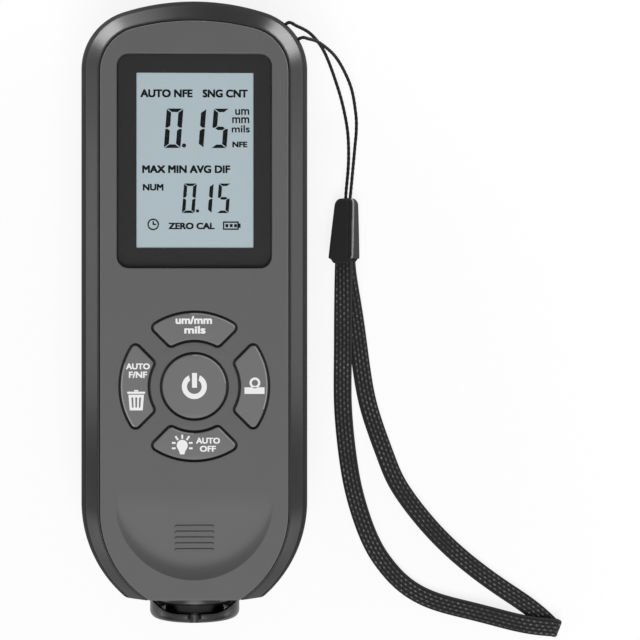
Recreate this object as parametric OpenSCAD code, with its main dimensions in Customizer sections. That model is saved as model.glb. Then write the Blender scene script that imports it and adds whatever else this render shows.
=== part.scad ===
// Hand-held coating thickness gauge, lying on its back.
// +X to the right of the face, +Y towards the top, +Z out of the face. The back is at z = 0.

/* [Body] */
// Width of the housing
body_w = 50; // [48:0.5:56]
// Length of the housing, without the probe
body_l = 131.5; // [130:0.5:140]
// Thickness of the housing
body_t = 27; // [26.5:0.5:32]
// Wall thickness of both covers
wall = 2; // [1.6:0.1:2.2]
// Radius of the arc across the top
top_r = 51.3; // [45:0.1:70]
// Radius of the upper corners
corner_r = 13.3; // [11:0.1:16]
// Radius of the lower arcs of the housing
bot_r = 27.7; // [25:0.1:29]
// Distance from the end plane up to the centre of those arcs
end_rise = 20.85; // [19:0.05:21.5]
// Radius of the rounded edge around the back
back_r = 4; // [3:0.1:5]
// Height of the joint between rear cover and front frame
parting_z = 13; // [12:0.1:13.4]
// Height of the lip that centres the front frame on the rear cover
lip_h = 1.2; // [0.8:0.1:1.6]

/* [Face] */
// Width of the bevel beside the face panel
bevel_w = 4.3; // [4:0.1:5.2]
// Width of the bevel above the face panel
bevel_top = 5.1; // [4.5:0.1:6]
// Height of the bevelled rim, with the steep band below it
bevel_h = 5.4; // [4.8:0.1:6]
// Radius of the arc across the top of the face panel
panel_top_r = 52.4; // [46:0.1:70]
// Radius of the upper corners of the face panel
panel_corner_r = 10; // [7:0.1:11]
// Radius of the lower arcs of the face panel
panel_bot_r = 23.25; // [22.5:0.05:24]
// Distance from the end plane up to the centre of those arcs of the panel
panel_rise = 19.5; // [18.8:0.05:20.2]
// Thickness of the face panel
panel_t = 2; // [1.6:0.1:2.4]
// Gap around the face panel
panel_gap = 0.25; // [0.1:0.05:0.4]
// Width of the ledge under the rim of the face panel
ledge_w = 0.9; // [0.6:0.1:1]

/* [Display] */
// Width of the window
window_w = 33.7; // [32.5:0.1:34]
// Height of the window
window_h = 46.7; // [44:0.1:48]
// Corner radius of the window
window_r = 2.6; // [1.5:0.1:4]
// Distance from the top of the housing to the window
window_drop = 12.5; // [11.5:0.1:14]
// Thickness of the window
window_t = 1.3; // [1:0.1:1.4]
// Width of the display glass
lcd_w = 30; // [28:0.1:30]
// Height of the display glass
lcd_h = 43; // [40:0.1:43.5]
// Thickness of the display glass
lcd_t = 2.2; // [1.8:0.1:2.4]
// Thickness of the light guide behind the display
light_t = 2.2; // [1.8:0.1:2.4]

/* [Keys] */
// Shift of the keys from halfway between window and scoop
keys_shift = -0.35; // [-1:0.05:1]
// Diameter of the round opening in the middle
power_d = 14.9; // [13:0.1:15]
// Inner radius of the arc openings
arc_in = 9.6; // [9.4:0.1:10.5]
// Outer radius of the arc openings
arc_out = 16.45; // [15:0.05:17]
// Half the bar between two arc openings
arc_bar = 2; // [1.8:0.1:2.4]
// Corner radius of the arc openings
arc_r = 1.4; // [0.6:0.1:1.4]
// Gap around each key
key_gap = 0.5; // [0.3:0.05:0.5]
// Height of the keys over the face
key_rise = 0.5; // [0.2:0.1:1]
// Travel of a key
key_travel = 0.5; // [0.3:0.05:0.7]

/* [Thumb scoop] */
// Radius of the scoop
scoop_r = 17.2; // [14:0.1:17.6]
// Distance from the end plane up to the flat side of the scoop
scoop_rise = 21.6; // [20:0.1:22]
// Depth of the scoop at its round side
scoop_depth = 2.4; // [1.5:0.1:2.6]
// Width of the grip ribs in the scoop
grip_w = 8.8; // [6:0.1:12]

/* [Probe] */
// Diameter of the end ring
ring_d = 20.2; // [18.5:0.1:21]
// Thickness of the end ring
ring_t = 2.1; // [1.6:0.1:3]
// Width of the notches in the rim of the end ring
notch_w = 2.8; // [2:0.1:3.6]
// Diameter of the fixed collar outside the housing
collar_d = 20; // [17.6:0.1:20.6]
// Length of the collar outside the housing
collar_out = 2.2; // [1.5:0.1:3]
// Diameter of the sliding barrel
barrel_d = 13; // [12:0.1:13.4]
// Travel of the probe
probe_travel = 1.5; // [1:0.1:2]
// Height of the probe axis over the back
probe_z = 12; // [11.8:0.1:12.4]
// Gap between the collar and the board above it
collar_gap = 0.45; // [0.3:0.05:2]
// Diameter of the probe tip
tip_d = 4; // [3:0.1:4.5]

/* [Batteries] */
// Diameter of a cell
cell_d = 10.5; // [10:0.1:11]
// Length of a cell
cell_l = 44.5; // [43:0.1:45]
// Thickness of the battery door
door_t = 1.6; // [1.2:0.1:1.8]

/* [Strap] */
// Diameter of the lanyard holes
lanyard_d = 1.8; // [1.4:0.1:2.2]
// Diameter of the lanyard cord
cord_d = 0.8; // [0.6:0.1:0.9]
// Width of the wrist strap
strap_w = 4.2; // [3.5:0.1:4.5]
// Thickness of the wrist strap
strap_t = 1.6; // [1.2:0.1:1.6]

/* [Hidden] */
$fn = 96;
eps = 0.01;
cut = 1;

// Clearances
fit = 0.1;
slide_fit = 0.08;
loose = 0.3;

// Lengths along the gauge
groove = probe_travel + 0.2;
probe_out = ring_t + groove + collar_out;
y_top = (body_l + probe_out) / 2;
y_end = y_top - body_l;
y_tip = y_end - probe_out;
y_round = y_end + end_rise;
y_panel_round = y_end + panel_rise;
y_scoop = y_end + scoop_rise;
y_window = y_top - window_drop - window_h / 2;
y_keys = (y_window - window_h / 2 + y_scoop) / 2 + keys_shift;
y_board_low = y_keys - arc_out - 0.9;
y_probe_back = y_board_low - collar_gap;
collar_in = y_probe_back - y_end - wall - fit;

// Heights through the gauge
z_panel = body_t - panel_t;
z_rim = body_t - 0.6;
z_band = body_t - 0.6 - bevel_h;
z_ledge = z_panel - 1.4;
z_window = body_t - 0.2 - window_t;
z_lcd = z_panel - 0.4 - lcd_t;
z_light = z_lcd - light_t;
tray_t = 1.2;
z_board = z_light - tray_t;
board_t = 1.6;
z_board_low = z_board - board_t;

// Steps of the outline's arcs
low_steps = 20;
corner_steps = 12;
top_steps = 12;
rim_w = 0.3;

// Body and panel outlines share one form, [half width, top, top arc, corner, lower arc, its centre]
body_form = [body_w / 2, y_top, top_r, corner_r, bot_r, y_round];
panel_form = [body_w / 2 - bevel_w, y_top - bevel_top, panel_top_r, panel_corner_r, panel_bot_r,
              y_panel_round];

// Display
window_ledge = 1.2;
tray_wall = 0.9;
tray_clear = 0.2;
tray_w = lcd_w + 2 * tray_clear + 2 * tray_wall;
tray_h = lcd_h + 2 * tray_clear + 2 * tray_wall;
strip_w = 2.4;
strip_l = lcd_w - 4;

// Board and its fasteners
board_w = body_w - 2 * wall - 6;
board_neck_w = tray_w + 1.4;
y_board_neck = y_window + lcd_h / 4;
post_d = 3;
screw_d = 1.5;
screw_head_d = 2.8;
screw_head_h = 1;
panel_hw = panel_form[0];
post_x = panel_hw - ledge_w - post_d / 2 - fit;
post_step = tray_h / 2 + post_d / 2 + loose;
post_rows = [[post_x, y_board_low + post_d], [post_x, y_window - post_step],
             [panel_hw - panel_corner_r, y_window + post_step]];
post_places = [for (side = [-1, 1], p = post_rows) [side * p.x, p.y]];
y_board_top = y_window + post_step + post_d / 2 + loose;
case_post_d = 7.2;
case_boss_d = 5.6;
y_case_low = y_board_low - case_post_d / 2 - 1.4;
y_case_high = y_board_top + case_boss_d / 2 + loose;
case_rows = [[body_w / 2 - wall - 3, y_case_low], [panel_hw - panel_corner_r - 2, y_case_high]];
case_places = [for (side = [-1, 1], p = case_rows) [side * p.x, p.y]];
case_screw_d = 2.2;
case_head_d = 4.2;
case_head_z = 6.2;
case_head_h = 1.8;
case_screw_l = 10;

buzzer_d = 12;
buzzer_h = 4;
buzzer_hole = 2;
chip_w = 10;
chip_h = 1.2;
chips = [[0, y_keys, chip_w], [-chip_w, y_keys + 2 * chip_w, 0.7 * chip_w],
         [chip_w, y_keys + 2 * chip_w, 0.5 * chip_w]];

// Keys
key_angles = [0, 90, 180, 270];
flange_w = 0.8;
flange_t = 0.9;
z_flange = z_panel - fit - flange_t;
switch_w = 6;
switch_h = 3.2;
switch_r = (arc_in + arc_out) / 2;
plunger_d = 3.4;
plunger_rise = 0.8;
z_plunger = z_board + switch_h + plunger_rise;
plunger_l = plunger_rise + 2;
switch_places = [[0, 0], for (a = key_angles) switch_r * [cos(a), sin(a)]];

// Battery bay and door
bay_wall = 1.4;
spring_room = 5;
plate_room = 1.5;
bay_w = 2 * cell_d + 1.2;
bay_l = spring_room + cell_l + plate_room;
y_bay = y_probe_back + bay_wall + 2.8;
z_cell = wall + 0.4 + cell_d / 2;
z_bay = wall + 0.4 + cell_d + 0.2;
cell_x = cell_d / 2 + 0.2;
door_step = 2.2;
door_z = 0.2;
hinge_room = 4;
door_w = bay_w + 2 * door_step;
y_door = y_bay - door_step;
y_hinge = y_bay + bay_l + bay_wall + hinge_room;
door_l = y_hinge - y_door - loose;
shelf_t = 1.2;
shelf_w = 1.5;
tab_x = 7.5;
tab_w = 4;
tab_root = 2;
tab_reach = 2.6;
tab_t = 1;
tongue_w = 8;
tongue_t = 1.4;
tongue_h = 2.2;

// Thumb scoop
scoop_skin = 1.2;
grip_drop = 5.6;
grip_pitch = 1.3;
grip_t = 0.7;
grip_rise = 0.3;

// Probe unit, lengths counted from the tip
bore_d = barrel_d + 2 * slide_fit;
stop_d = barrel_d + 2.4;
chamber_bore = stop_d + 2 * loose;
chamber_d = chamber_bore + 2.8;
hole_d = chamber_d - 2.2;
cap_t = 1.5;
h_collar = ring_t + groove;
h_end = probe_out;
h_shoulder = h_end + wall + fit;
h_stop = h_shoulder + 12;
h_cap = probe_out + wall + fit + collar_in - cap_t;
stop_t = 1.8;
coil_bore = 8;
h_core = 4;
core_l = 16;
bobbin_t = 1;
core_d = 3.6;
coil_d = 7;
spring_wire = 0.8;
spring_d = stop_d - 1.8;
spring_turns = 5;

// Lanyard holes on the upper right corner
corner_x = body_form[0] - corner_r;
corner_y = y_top - top_r + sqrt(pow(top_r - corner_r, 2) - pow(corner_x, 2));
lanyard_angles = [51, 31];
lanyard_tilt = 35;
lanyard_in = 0.6;
lanyard_z = z_band;

// Clip, [x, y, z] of the two end faces, and its roll about its length
clip_low = [34.83, 12.3, 3.6];
clip_high = [35.33, 26.5, 2.7];
clip_low_size = [5.9, 4.6];
clip_high_size = [3.2, 3.8];
clip_roll = 25;
clip_r = 0.9;

// Cord route, from the clip through both holes and back to the clip
cord_route = [[35.04, 26.5, 2.6], [35.14, 28.2, 2.5], [35.8, 35, 1.2], [35.7, 41.8, 0.6], [34.6, 48, 0.7],
              [33, 53, 2.2], [30.6, 58.1, 6.5], [28.5, 60.8, 11], [25.7, 62.6, 16.4],
              [22.6, 63.4, 20.6], [20.6, 63.9, 21.5], [18.2, 61.7, 19.4], [18.2, 59.9, 18.6],
              [19.2, 58.7, 18.6], [20.5, 58.9, 19.4], [23.4, 60.5, 21.8], [25.2, 60.6, 20.4],
              [28.2, 60.4, 15.6], [32.5, 58.1, 8.5], [36.1, 52.7, 3], [37.5, 46.8, 0.8],
              [37.7, 42.9, 0.6], [37.3, 38.3, 0.9], [36.2, 28.2, 2.9], [36, 26.5, 3]];

// Strap route: front leg to the fold, the fold, back leg to the clip
strap_front = [[34.47, 12.3, 4.4], [34.4, 7.8, 4.1], [34.4, -1.8, 2.6], [34.4, -8.8, 2.5], [34.4, -15.6, 1.5],
               [34.6, -24.1, 0.8], [36, -36.5, 0.8], [37.9, -44.9, 0.8], [40.9, -53.3, 0.8],
               [44.4, -58.9, 0.8], [49.1, -63.9, 0.8], [55.9, -67.6, 0.9], [66.2, -70, 1.8],
               [76.4, -72.7, 2.5]];
strap_fold = [83.6, -73.5, 1.65];
strap_crease = 72;
strap_back = [[78.4, -68.9, 0.8], [70.8, -63.9, 0.8], [62.6, -57.7, 0.8], [55, -50.4, 0.8],
              [47.5, -40.7, 0.8], [44.6, -33.7, 0.8], [41.1, -24.1, 0.8], [39.2, -15.8, 0.8],
              [37.4, -1.8, 0.8], [35.6, 7.8, 2.3], [35.19, 12.3, 2.8]];

function mix(a, b, s) = a + (b - a) * s;
function unit(v) = v / norm(v);
function form_at(s) = [for (i = [0:5]) mix(body_form[i], panel_form[i], s)];

// Point i of a smooth curve through the route, at share u of the way to the next point
function between(p, i, u) =
    let (n = len(p) - 1, a = p[max(i - 1, 0)], b = p[i], c = p[min(i + 1, n)], d = p[min(i + 2, n)])
    (2 * b + (c - a) * u + (2 * a - 5 * b + 4 * c - d) * u * u + (3 * b - a - 3 * c + d) * u * u * u) / 2;
// No point comes nearer to the table than half the cord's thickness
function smooth(p, steps, thick) =
    [for (i = [0:len(p) - 1], k = [0:(i < len(p) - 1 ? steps - 1 : 0)])
        let (q = between(p, i, k / steps)) [q.x, q.y, max(q.z, thick / 2 + 0.02)]];
function heading(p, i) = unit(p[min(i + 1, len(p) - 1)] - p[max(i - 1, 0)]);

// Closed skin over rings that all have the same number of points
module skin(rings) {
    m = len(rings[0]);
    last = (len(rings) - 1) * m;
    polyhedron(
        points = [for (r = rings) for (q = r) q],
        faces = concat(
            [[for (j = [0:m - 1]) j]],
            [for (i = [0:len(rings) - 2], j = [0:m - 1])
                [i * m + j, (i + 1) * m + j, (i + 1) * m + (j + 1) % m, i * m + (j + 1) % m]],
            [[for (j = [m - 1:-1:0]) last + j]]));
}

// Round cord along a route
module cord(route, d, sides = 8) {
    skin([for (i = [0:len(route) - 1])
        let (t = heading(route, i), s = unit(cross(t, [0, 0, 1])), u = cross(s, t))
        [for (k = [0:sides - 1]) route[i] + d / 2 * (cos(360 * k / sides) * s + sin(360 * k / sides) * u)]]);
}

// Coil of round wire along +Z, with radius r1 below and r2 above
module coil(r1, r2, wire, length, turns, per_turn = 14, sides = 6) {
    count = turns * per_turn;
    skin([for (i = [0:count])
        let (a = 360 * i / per_turn, r = mix(r1, r2, i / count), out = [cos(a), sin(a), 0])
        [for (k = [0:sides - 1])
            r * out + [0, 0, wire / 2 + (length - wire) * i / count]
            + wire / 2 * (cos(360 * k / sides) * out + sin(360 * k / sides) * [0, 0, 1])]]);
}

// Points of the housing outline of a form, counter-clockwise, cut by the end plane
function arc(x, y, r, a0, a1, steps) =
    [for (i = [0:steps]) [x + r * cos(mix(a0, a1, i / steps)), y + r * sin(mix(a0, a1, i / steps))]];
function mirrored(p) = [for (i = [len(p) - 1:-1:0]) [-p[i].x, p[i].y]];
function outline_points(f, y_low) =
    let (x_corner = f[0] - f[3], y_centre = f[1] - f[2],
         y_corner = y_centre + sqrt(pow(f[2] - f[3], 2) - pow(x_corner, 2)),
         turn = atan2(y_corner - y_centre, x_corner),
         low = arc(f[0] - f[4], f[5], f[4], asin((y_low - f[5]) / f[4]), 0, low_steps),
         corner = arc(x_corner, y_corner, f[3], 0, turn, corner_steps),
         top = arc(0, y_centre, f[2], turn, 180 - turn, top_steps))
    concat(low, corner, [for (i = [1:top_steps - 1]) top[i]], mirrored(corner), mirrored(low));

module outline(f, y_low) {
    polygon(outline_points(f, y_low));
}

// Ring of the housing: inset from the outer wall, height, and inset of the end plane
function ring(inset, z, end_in = 0) =
    [for (p = outline_points(form_at(inset / bevel_w), y_end + end_in)) [p.x, p.y, z]];

// Opening of the frame under the face panel, made smaller by a clearance
module frame_opening(clear = 0) {
    outline(form_at((bevel_w + ledge_w + clear) / bevel_w), y_end + wall + clear);
}

// Rear half of the housing or of its hollow, with a rounded edge
module rear_form(inset, r, z_low, z_high, end_in) {
    skin(concat(
        [for (a = [0:18:90]) ring(inset + r * (1 - sin(a)), z_low + r * (1 - cos(a)), end_in + r * (1 - sin(a)))],
        [ring(inset, z_high, end_in)]));
}

module rounded_rect(w, h, r) {
    square([w - 2 * r, h], center = true);
    square([w, h - 2 * r], center = true);
    for (x = [-1, 1], y = [-1, 1])
        translate([x * (w / 2 - r), y * (h / 2 - r)])
            circle(r);
}

module block(w, l, h) {
    translate([-w / 2, 0, 0])
        cube([w, l, h]);
}

// Along the probe axis, counted from the tip
module on_probe(h = 0) {
    translate([0, y_tip + h, probe_z])
        rotate([-90, 0, 0])
            children();
}

// Lip between the covers, or its seat
module lip_ring(outer, inner, z, h) {
    translate([0, 0, z])
        linear_extrude(h)
            difference() {
                outline(form_at(outer / bevel_w), y_end + outer);
                outline(form_at(inner / bevel_w), y_end + inner);
            }
}

module rear_cover() {
    color("#262626")
        difference() {
            union() {
                difference() {
                    rear_form(0, back_r, 0, parting_z, 0);
                    rear_form(wall, back_r - wall, wall, parting_z + cut, wall);
                }
                lip_ring(wall / 2 + fit, wall, parting_z - eps, lip_h - fit);
                battery_bay();
                screw_posts();
                probe_saddles();
            }
            translate([0, y_bay, -cut])
                block(bay_w, bay_l, z_bay + cut);
            translate([0, y_door - loose, -cut])
                block(door_w + 2 * loose, y_hinge - y_door + loose, wall + cut);
            hinge_slots();
            for (p = case_places)
                translate([p.x, p.y, -cut]) {
                    cylinder(d = case_head_d + 2 * loose, h = case_head_z + case_head_h + cut);
                    cylinder(d = case_screw_d + 2 * loose, h = parting_z + 2 * cut);
                }
            on_probe(h_end - cut)
                cylinder(d = hole_d + 2 * fit, h = wall + fit + 2 * cut);
            on_probe(h_shoulder - fit)
                cylinder(d = chamber_d + 2 * fit, h = collar_in + 2 * fit);
            translate([0, y_door - loose, 0])
                rotate([0, 90, 0])
                    cylinder(r = 1.2, h = 10, center = true);
        }
}

// Bay for the cells, with the shelf that the door lies on
module battery_bay() {
    translate([0, y_bay - bay_wall, wall - eps])
        block(bay_w + 2 * bay_wall, bay_l + 2 * bay_wall, z_bay + bay_wall - wall);
    translate([0, y_door - loose - shelf_w, wall - eps])
        block(door_w + 2 * loose + 2 * shelf_w, y_hinge - y_door + loose + 2 * shelf_w, shelf_t);
}

// Room for the door's hooks and tongue
module hinge_slots() {
    for (x = [-tab_x, tab_x])
        translate([x, y_hinge - hinge_room, wall])
            block(tab_w + 2 * loose, hinge_room + shelf_w + cut, shelf_t + cut);
    translate([0, y_door - loose, wall - cut])
        block(tongue_w + 2 * loose, door_step - bay_wall + tongue_t / 2 + loose, shelf_t + 2 * cut);
}

module screw_posts() {
    for (p = case_places)
        translate([p.x, p.y, wall - eps])
            cylinder(d = case_post_d, h = parting_z - wall + eps);
}

module probe_saddles() {
    for (h = [h_shoulder + 5, h_cap - 6])
        translate([0, y_tip + h, wall - eps])
            block(chamber_d, wall, probe_z - 3 - wall);
}

module front_frame() {
    color("#2e2e2e")
        difference() {
            union() {
                difference() {
                    frame_outside();
                    frame_hollow();
                }
                for (p = case_places)
                    translate([p.x, p.y, parting_z])
                        cylinder(d = case_boss_d, h = z_band + 1 - parting_z);
            }
            translate([0, 0, z_panel])
                linear_extrude(panel_t + cut)
                    outline(panel_form, y_end - cut);
            translate([0, 0, z_ledge - cut])
                linear_extrude(panel_t + 2 * cut)
                    frame_opening();
            translate([0, 0, parting_z - eps])
                linear_extrude(lip_h)
                    outline(form_at(wall / 2 / bevel_w), y_end + wall / 2);
            for (p = case_places)
                translate([p.x, p.y, parting_z - cut])
                    cylinder(d = case_screw_d + 2 * fit, h = case_screw_l - 2);
            on_probe(h_end - cut)
                cylinder(d = hole_d + 2 * fit, h = wall + fit + 2 * cut);
            for (a = lanyard_angles)
                lanyard_hole(a);
        }
}

module frame_outside() {
    skin([ring(0, parting_z), ring(0, z_band - 0.9), ring(0.2, z_band), ring(0.6, z_band + 0.9),
          ring(1.2, z_band + 1.8), ring(bevel_w - rim_w, z_rim)]);
}

module frame_hollow() {
    skin([ring(wall, parting_z - cut, wall), ring(wall, z_band - 0.9, wall),
          ring(bevel_w + ledge_w, z_ledge, wall)]);
}

module lanyard_hole(a) {
    translate([corner_x, corner_y, lanyard_z] + (corner_r - lanyard_in) * [cos(a), sin(a), 0])
        rotate([0, 90 - lanyard_tilt, a])
            cylinder(d = lanyard_d, h = 4 * wall, center = true, $fn = 32);
}

module face_panel() {
    color("#666666")
        difference() {
            union() {
                translate([0, 0, z_panel])
                    linear_extrude(panel_t)
                        difference() {
                            outline(form_at(1 + panel_gap / bevel_w), y_end);
                            key_openings();
                        }
                for (p = post_places)
                    translate([p.x, p.y, z_board])
                        cylinder(d = post_d, h = z_panel - z_board + eps);
                scoop_back();
            }
            translate([0, y_window, z_window])
                linear_extrude(panel_t + cut)
                    rounded_rect(window_w, window_h, window_r);
            translate([0, y_window, z_panel - cut])
                linear_extrude(panel_t)
                    rounded_rect(window_w - 2 * window_ledge, window_h - 2 * window_ledge,
                                 window_r - window_ledge);
            for (p = post_places)
                translate([p.x, p.y, z_board - cut])
                    cylinder(d = screw_d + 2 * fit, h = 4 + cut, $fn = 32);
            difference() {
                in_scoop()
                    linear_extrude(2 * panel_t)
                        half_disc(scoop_r);
                in_scoop()
                    grip_ribs();
            }
        }
}

// The scoop's floor: flush along its flat side and deepest at its round side
module in_scoop() {
    translate([0, y_scoop, body_t])
        rotate([asin(scoop_depth / scoop_r), 0, 0])
            children();
}

// Skin behind the scoop, inside the frame's opening
module scoop_back() {
    intersection() {
        in_scoop()
            translate([0, 0, -scoop_skin])
                linear_extrude(scoop_skin + eps)
                    half_disc(scoop_r + scoop_skin);
        translate([0, 0, z_board])
            linear_extrude(body_t - z_board)
                frame_opening(fit);
    }
}

module half_disc(r) {
    intersection() {
        circle(r);
        translate([-r, -r])
            square([2 * r, r]);
    }
}

module grip_ribs() {
    for (i = [0:4])
        translate([0, -grip_drop - i * grip_pitch, -eps])
            linear_extrude(grip_rise)
                rounded_rect(grip_w, grip_t, grip_t * 0.49);
}

// One arc opening or key about the key centre, grown by g
module arc_shape(a, g = 0) {
    rotate(a)
        offset(r = arc_r + g)
            offset(delta = -arc_r)
                intersection() {
                    difference() {
                        circle(arc_out);
                        circle(arc_in);
                    }
                    rotate(-45)
                        translate([arc_bar, arc_bar])
                            square(arc_out);
                }
}

module key_openings() {
    translate([0, y_keys]) {
        circle(d = power_d);
        for (a = key_angles)
            arc_shape(a);
    }
}

// Cap, flange and stem of a key; the children are its plan, first the cap's and then the flange's
module key(place) {
    translate([0, y_keys, 0]) {
        translate([0, 0, z_flange])
            linear_extrude(body_t + key_rise - z_flange)
                children(0);
        translate([0, 0, z_flange])
            linear_extrude(flange_t)
                intersection() {
                    children(1);
                    translate([0, -y_keys])
                        frame_opening(loose);
                }
        translate([place.x, place.y, z_plunger])
            cylinder(d = plunger_d - 0.4, h = z_flange - z_plunger + eps, $fn = 32);
    }
}

module arc_key(a) {
    color("#757575")
        key(switch_r * [cos(a), sin(a)]) {
            arc_shape(a, -key_gap);
            arc_shape(a, flange_w);
        }
}

module power_key() {
    color("#757575")
        key([0, 0]) {
            circle(d = power_d - 2 * key_gap);
            circle(d = power_d + 2 * flange_w);
        }
}
module zero_key() { arc_key(0); }
module units_key() { arc_key(90); }
module mode_key() { arc_key(180); }
module light_key() { arc_key(270); }

// Moving plunger of one switch
module plunger(i) {
    color("#111111")
        translate([switch_places[i].x, y_keys + switch_places[i].y, z_plunger - plunger_l])
            cylinder(d = plunger_d, h = plunger_l, $fn = 32);
}
module power_plunger() { plunger(0); }
module zero_plunger() { plunger(1); }
module units_plunger() { plunger(2); }
module mode_plunger() { plunger(3); }
module light_plunger() { plunger(4); }

module key_switches() {
    color("#8a8d90")
        for (p = switch_places)
            translate([p.x, y_keys + p.y, z_board])
                difference() {
                    translate([-switch_w / 2, -switch_w / 2, 0])
                        cube([switch_w, switch_w, switch_h]);
                    translate([0, 0, switch_h + plunger_rise - plunger_l - key_travel - fit])
                        cylinder(d = plunger_d + 2 * loose, h = switch_h, $fn = 32);
                }
}

module display_window() {
    color("#1c1c1c")
        translate([0, y_window, z_window])
            linear_extrude(window_t)
                rounded_rect(window_w - 2 * fit, window_h - 2 * fit, window_r - fit);
}

module lcd_panel() {
    color("#adbbc4")
        translate([0, y_window, z_lcd + lcd_t / 2])
            cube([lcd_w, lcd_h, lcd_t], center = true);
}

module lcd_backlight() {
    color("#e8e8e0")
        translate([0, y_window, z_light + light_t / 2])
            cube([lcd_w, lcd_h - 2 * strip_w - 4 * fit, light_t], center = true);
}

// Tray that holds light guide and glass on the board
module lcd_frame() {
    color("#f0f0ec")
        translate([0, y_window, 0])
            difference() {
                translate([0, 0, z_board])
                    linear_extrude(z_lcd + lcd_t - z_board - fit)
                        rounded_rect(tray_w, tray_h, 1);
                translate([0, 0, z_light])
                    linear_extrude(light_t + lcd_t)
                        square([tray_w - 2 * tray_wall, tray_h - 2 * tray_wall], center = true);
                for (y = [-1, 1])
                    translate([0, y * (lcd_h - strip_w) / 2, z_light])
                        cube([strip_l + 2 * fit, strip_w + 2 * fit, 3 * tray_t], center = true);
            }
}

module lcd_connectors() {
    color("#d08a96")
        for (y = [-1, 1])
            translate([0, y_window + y * (lcd_h - strip_w) / 2, (z_board + z_lcd) / 2])
                cube([strip_l, strip_w, z_lcd - z_board], center = true);
}

module main_board() {
    color("#1f5a3a")
        difference() {
            translate([0, 0, z_board_low])
                linear_extrude(board_t) {
                    translate([-board_w / 2, y_board_low])
                        square([board_w, y_board_neck - y_board_low]);
                    translate([-board_neck_w / 2, y_board_low])
                        square([board_neck_w, y_board_top - y_board_low]);
                }
            for (p = post_places)
                translate([p.x, p.y, z_board_low - cut])
                    cylinder(d = screw_d + 2 * fit, h = board_t + 2 * cut, $fn = 32);
        }
}

// Processor, converter and coil driver under the board
module board_chips() {
    color("#1a1a1a")
        for (c = chips)
            translate([c.x - c.z / 2, c.y - c.z / 2, z_board_low - chip_h])
                cube([c.z, c.z, chip_h]);
}

module buzzer() {
    color("#161616")
        translate([0, y_window + lcd_h / 3, z_board_low - buzzer_h])
            difference() {
                cylinder(d = buzzer_d, h = buzzer_h);
                translate([0, 0, -cut])
                    cylinder(d = buzzer_hole, h = buzzer_h / 2 + cut, $fn = 32);
            }
}

// Pan-head screw pointing up, with a cross slot
module screw(d, head_d, head_h, length) {
    difference() {
        union() {
            cylinder(d = head_d, h = head_h, $fn = 32);
            cylinder(d = d, h = head_h + length, $fn = 32);
        }
        for (a = [0, 90])
            rotate(a)
                cube([head_d * 0.7, head_d * 0.16, head_h], center = true);
    }
}

module board_screws() {
    color("#b8b8b8")
        for (p = post_places)
            translate([p.x, p.y, z_board_low - screw_head_h])
                screw(screw_d, screw_head_d, screw_head_h, board_t + 2 * screw_d);
}

module case_screws() {
    color("#9a9a9a")
        for (p = case_places)
            translate([p.x, p.y, case_head_z])
                screw(case_screw_d, case_head_d, case_head_h, case_screw_l);
}

// One cell along +Y, with its button end
module cell() {
    rotate([-90, 0, 0]) {
        cylinder(d = cell_d, h = cell_l - 1);
        cylinder(d = 3.8, h = cell_l, $fn = 32);
    }
}

module battery_left() {
    color("#3c6e50")
        translate([-cell_x, y_bay + spring_room, z_cell])
            cell();
}

module battery_right() {
    color("#3c6e50")
        translate([cell_x, y_bay + plate_room + cell_l, z_cell])
            rotate(180)
                cell();
}

module battery_springs() {
    color("#c8c8c8") {
        translate([-cell_x, y_bay + fit, z_cell])
            rotate([-90, 0, 0])
                coil(3.6, 2.2, 0.7, spring_room - 2 * fit, 4);
        translate([cell_x, y_bay + bay_l - fit, z_cell])
            rotate([90, 0, 0])
                coil(3.6, 2.2, 0.7, spring_room - 2 * fit, 4);
    }
}

// Pressed plate against the button end of each cell
module battery_plates() {
    plate_w = cell_d - 2;
    color("#c8c8c8") {
        translate([-cell_x, y_bay + bay_l - plate_room + fit, z_cell - plate_w / 2])
            block(plate_w, plate_room - 2 * fit, plate_w);
        translate([cell_x, y_bay + fit, z_cell - plate_w / 2])
            block(plate_w, plate_room - 2 * fit, plate_w);
    }
}

// Door with two hooks at the hinge end, a latch tongue and ribs for the thumb
module battery_door() {
    color("#262626") {
        difference() {
            translate([0, y_door, door_z])
                block(door_w, door_l, door_t);
            for (i = [0:3])
                translate([0, y_door + 4 + 2 * i, door_z - eps])
                    block(12, 1, 0.4);
        }
        for (x = [-tab_x, tab_x]) {
            translate([x, y_hinge - tab_root, door_z + door_t - eps])
                block(tab_w, tab_root - loose, wall + 0.15 + tab_t - door_z - door_t);
            translate([x, y_hinge - tab_root, wall + 0.15])
                block(tab_w, tab_root + tab_reach, tab_t);
        }
        translate([0, y_door + loose / 2, door_z + door_t - eps])
            block(tongue_w, tongue_t / 2, tongue_h);
    }
}

// Collar clamped in the end wall, with the chamber for stop and spring
module probe_collar() {
    color("#1b1b1b")
        on_probe()
            rotate_extrude()
                polygon([[bore_d / 2, h_collar], [collar_d / 2 - 0.5, h_collar],
                         [collar_d / 2, h_collar + 0.5], [collar_d / 2, h_end], [hole_d / 2, h_end],
                         [hole_d / 2, h_shoulder], [chamber_d / 2, h_shoulder], [chamber_d / 2, h_cap],
                         [chamber_bore / 2, h_cap], [chamber_bore / 2, h_stop], [bore_d / 2, h_stop]]);
}

module probe_end_cap() {
    color("#1b1b1b")
        on_probe()
            rotate_extrude()
                polygon([[1.5, h_cap - 2], [spring_d / 2 - spring_wire, h_cap - 2],
                         [spring_d / 2 - spring_wire, h_cap], [chamber_d / 2, h_cap],
                         [chamber_d / 2, h_cap + cap_t], [1.5, h_cap + cap_t]]);
}

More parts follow.
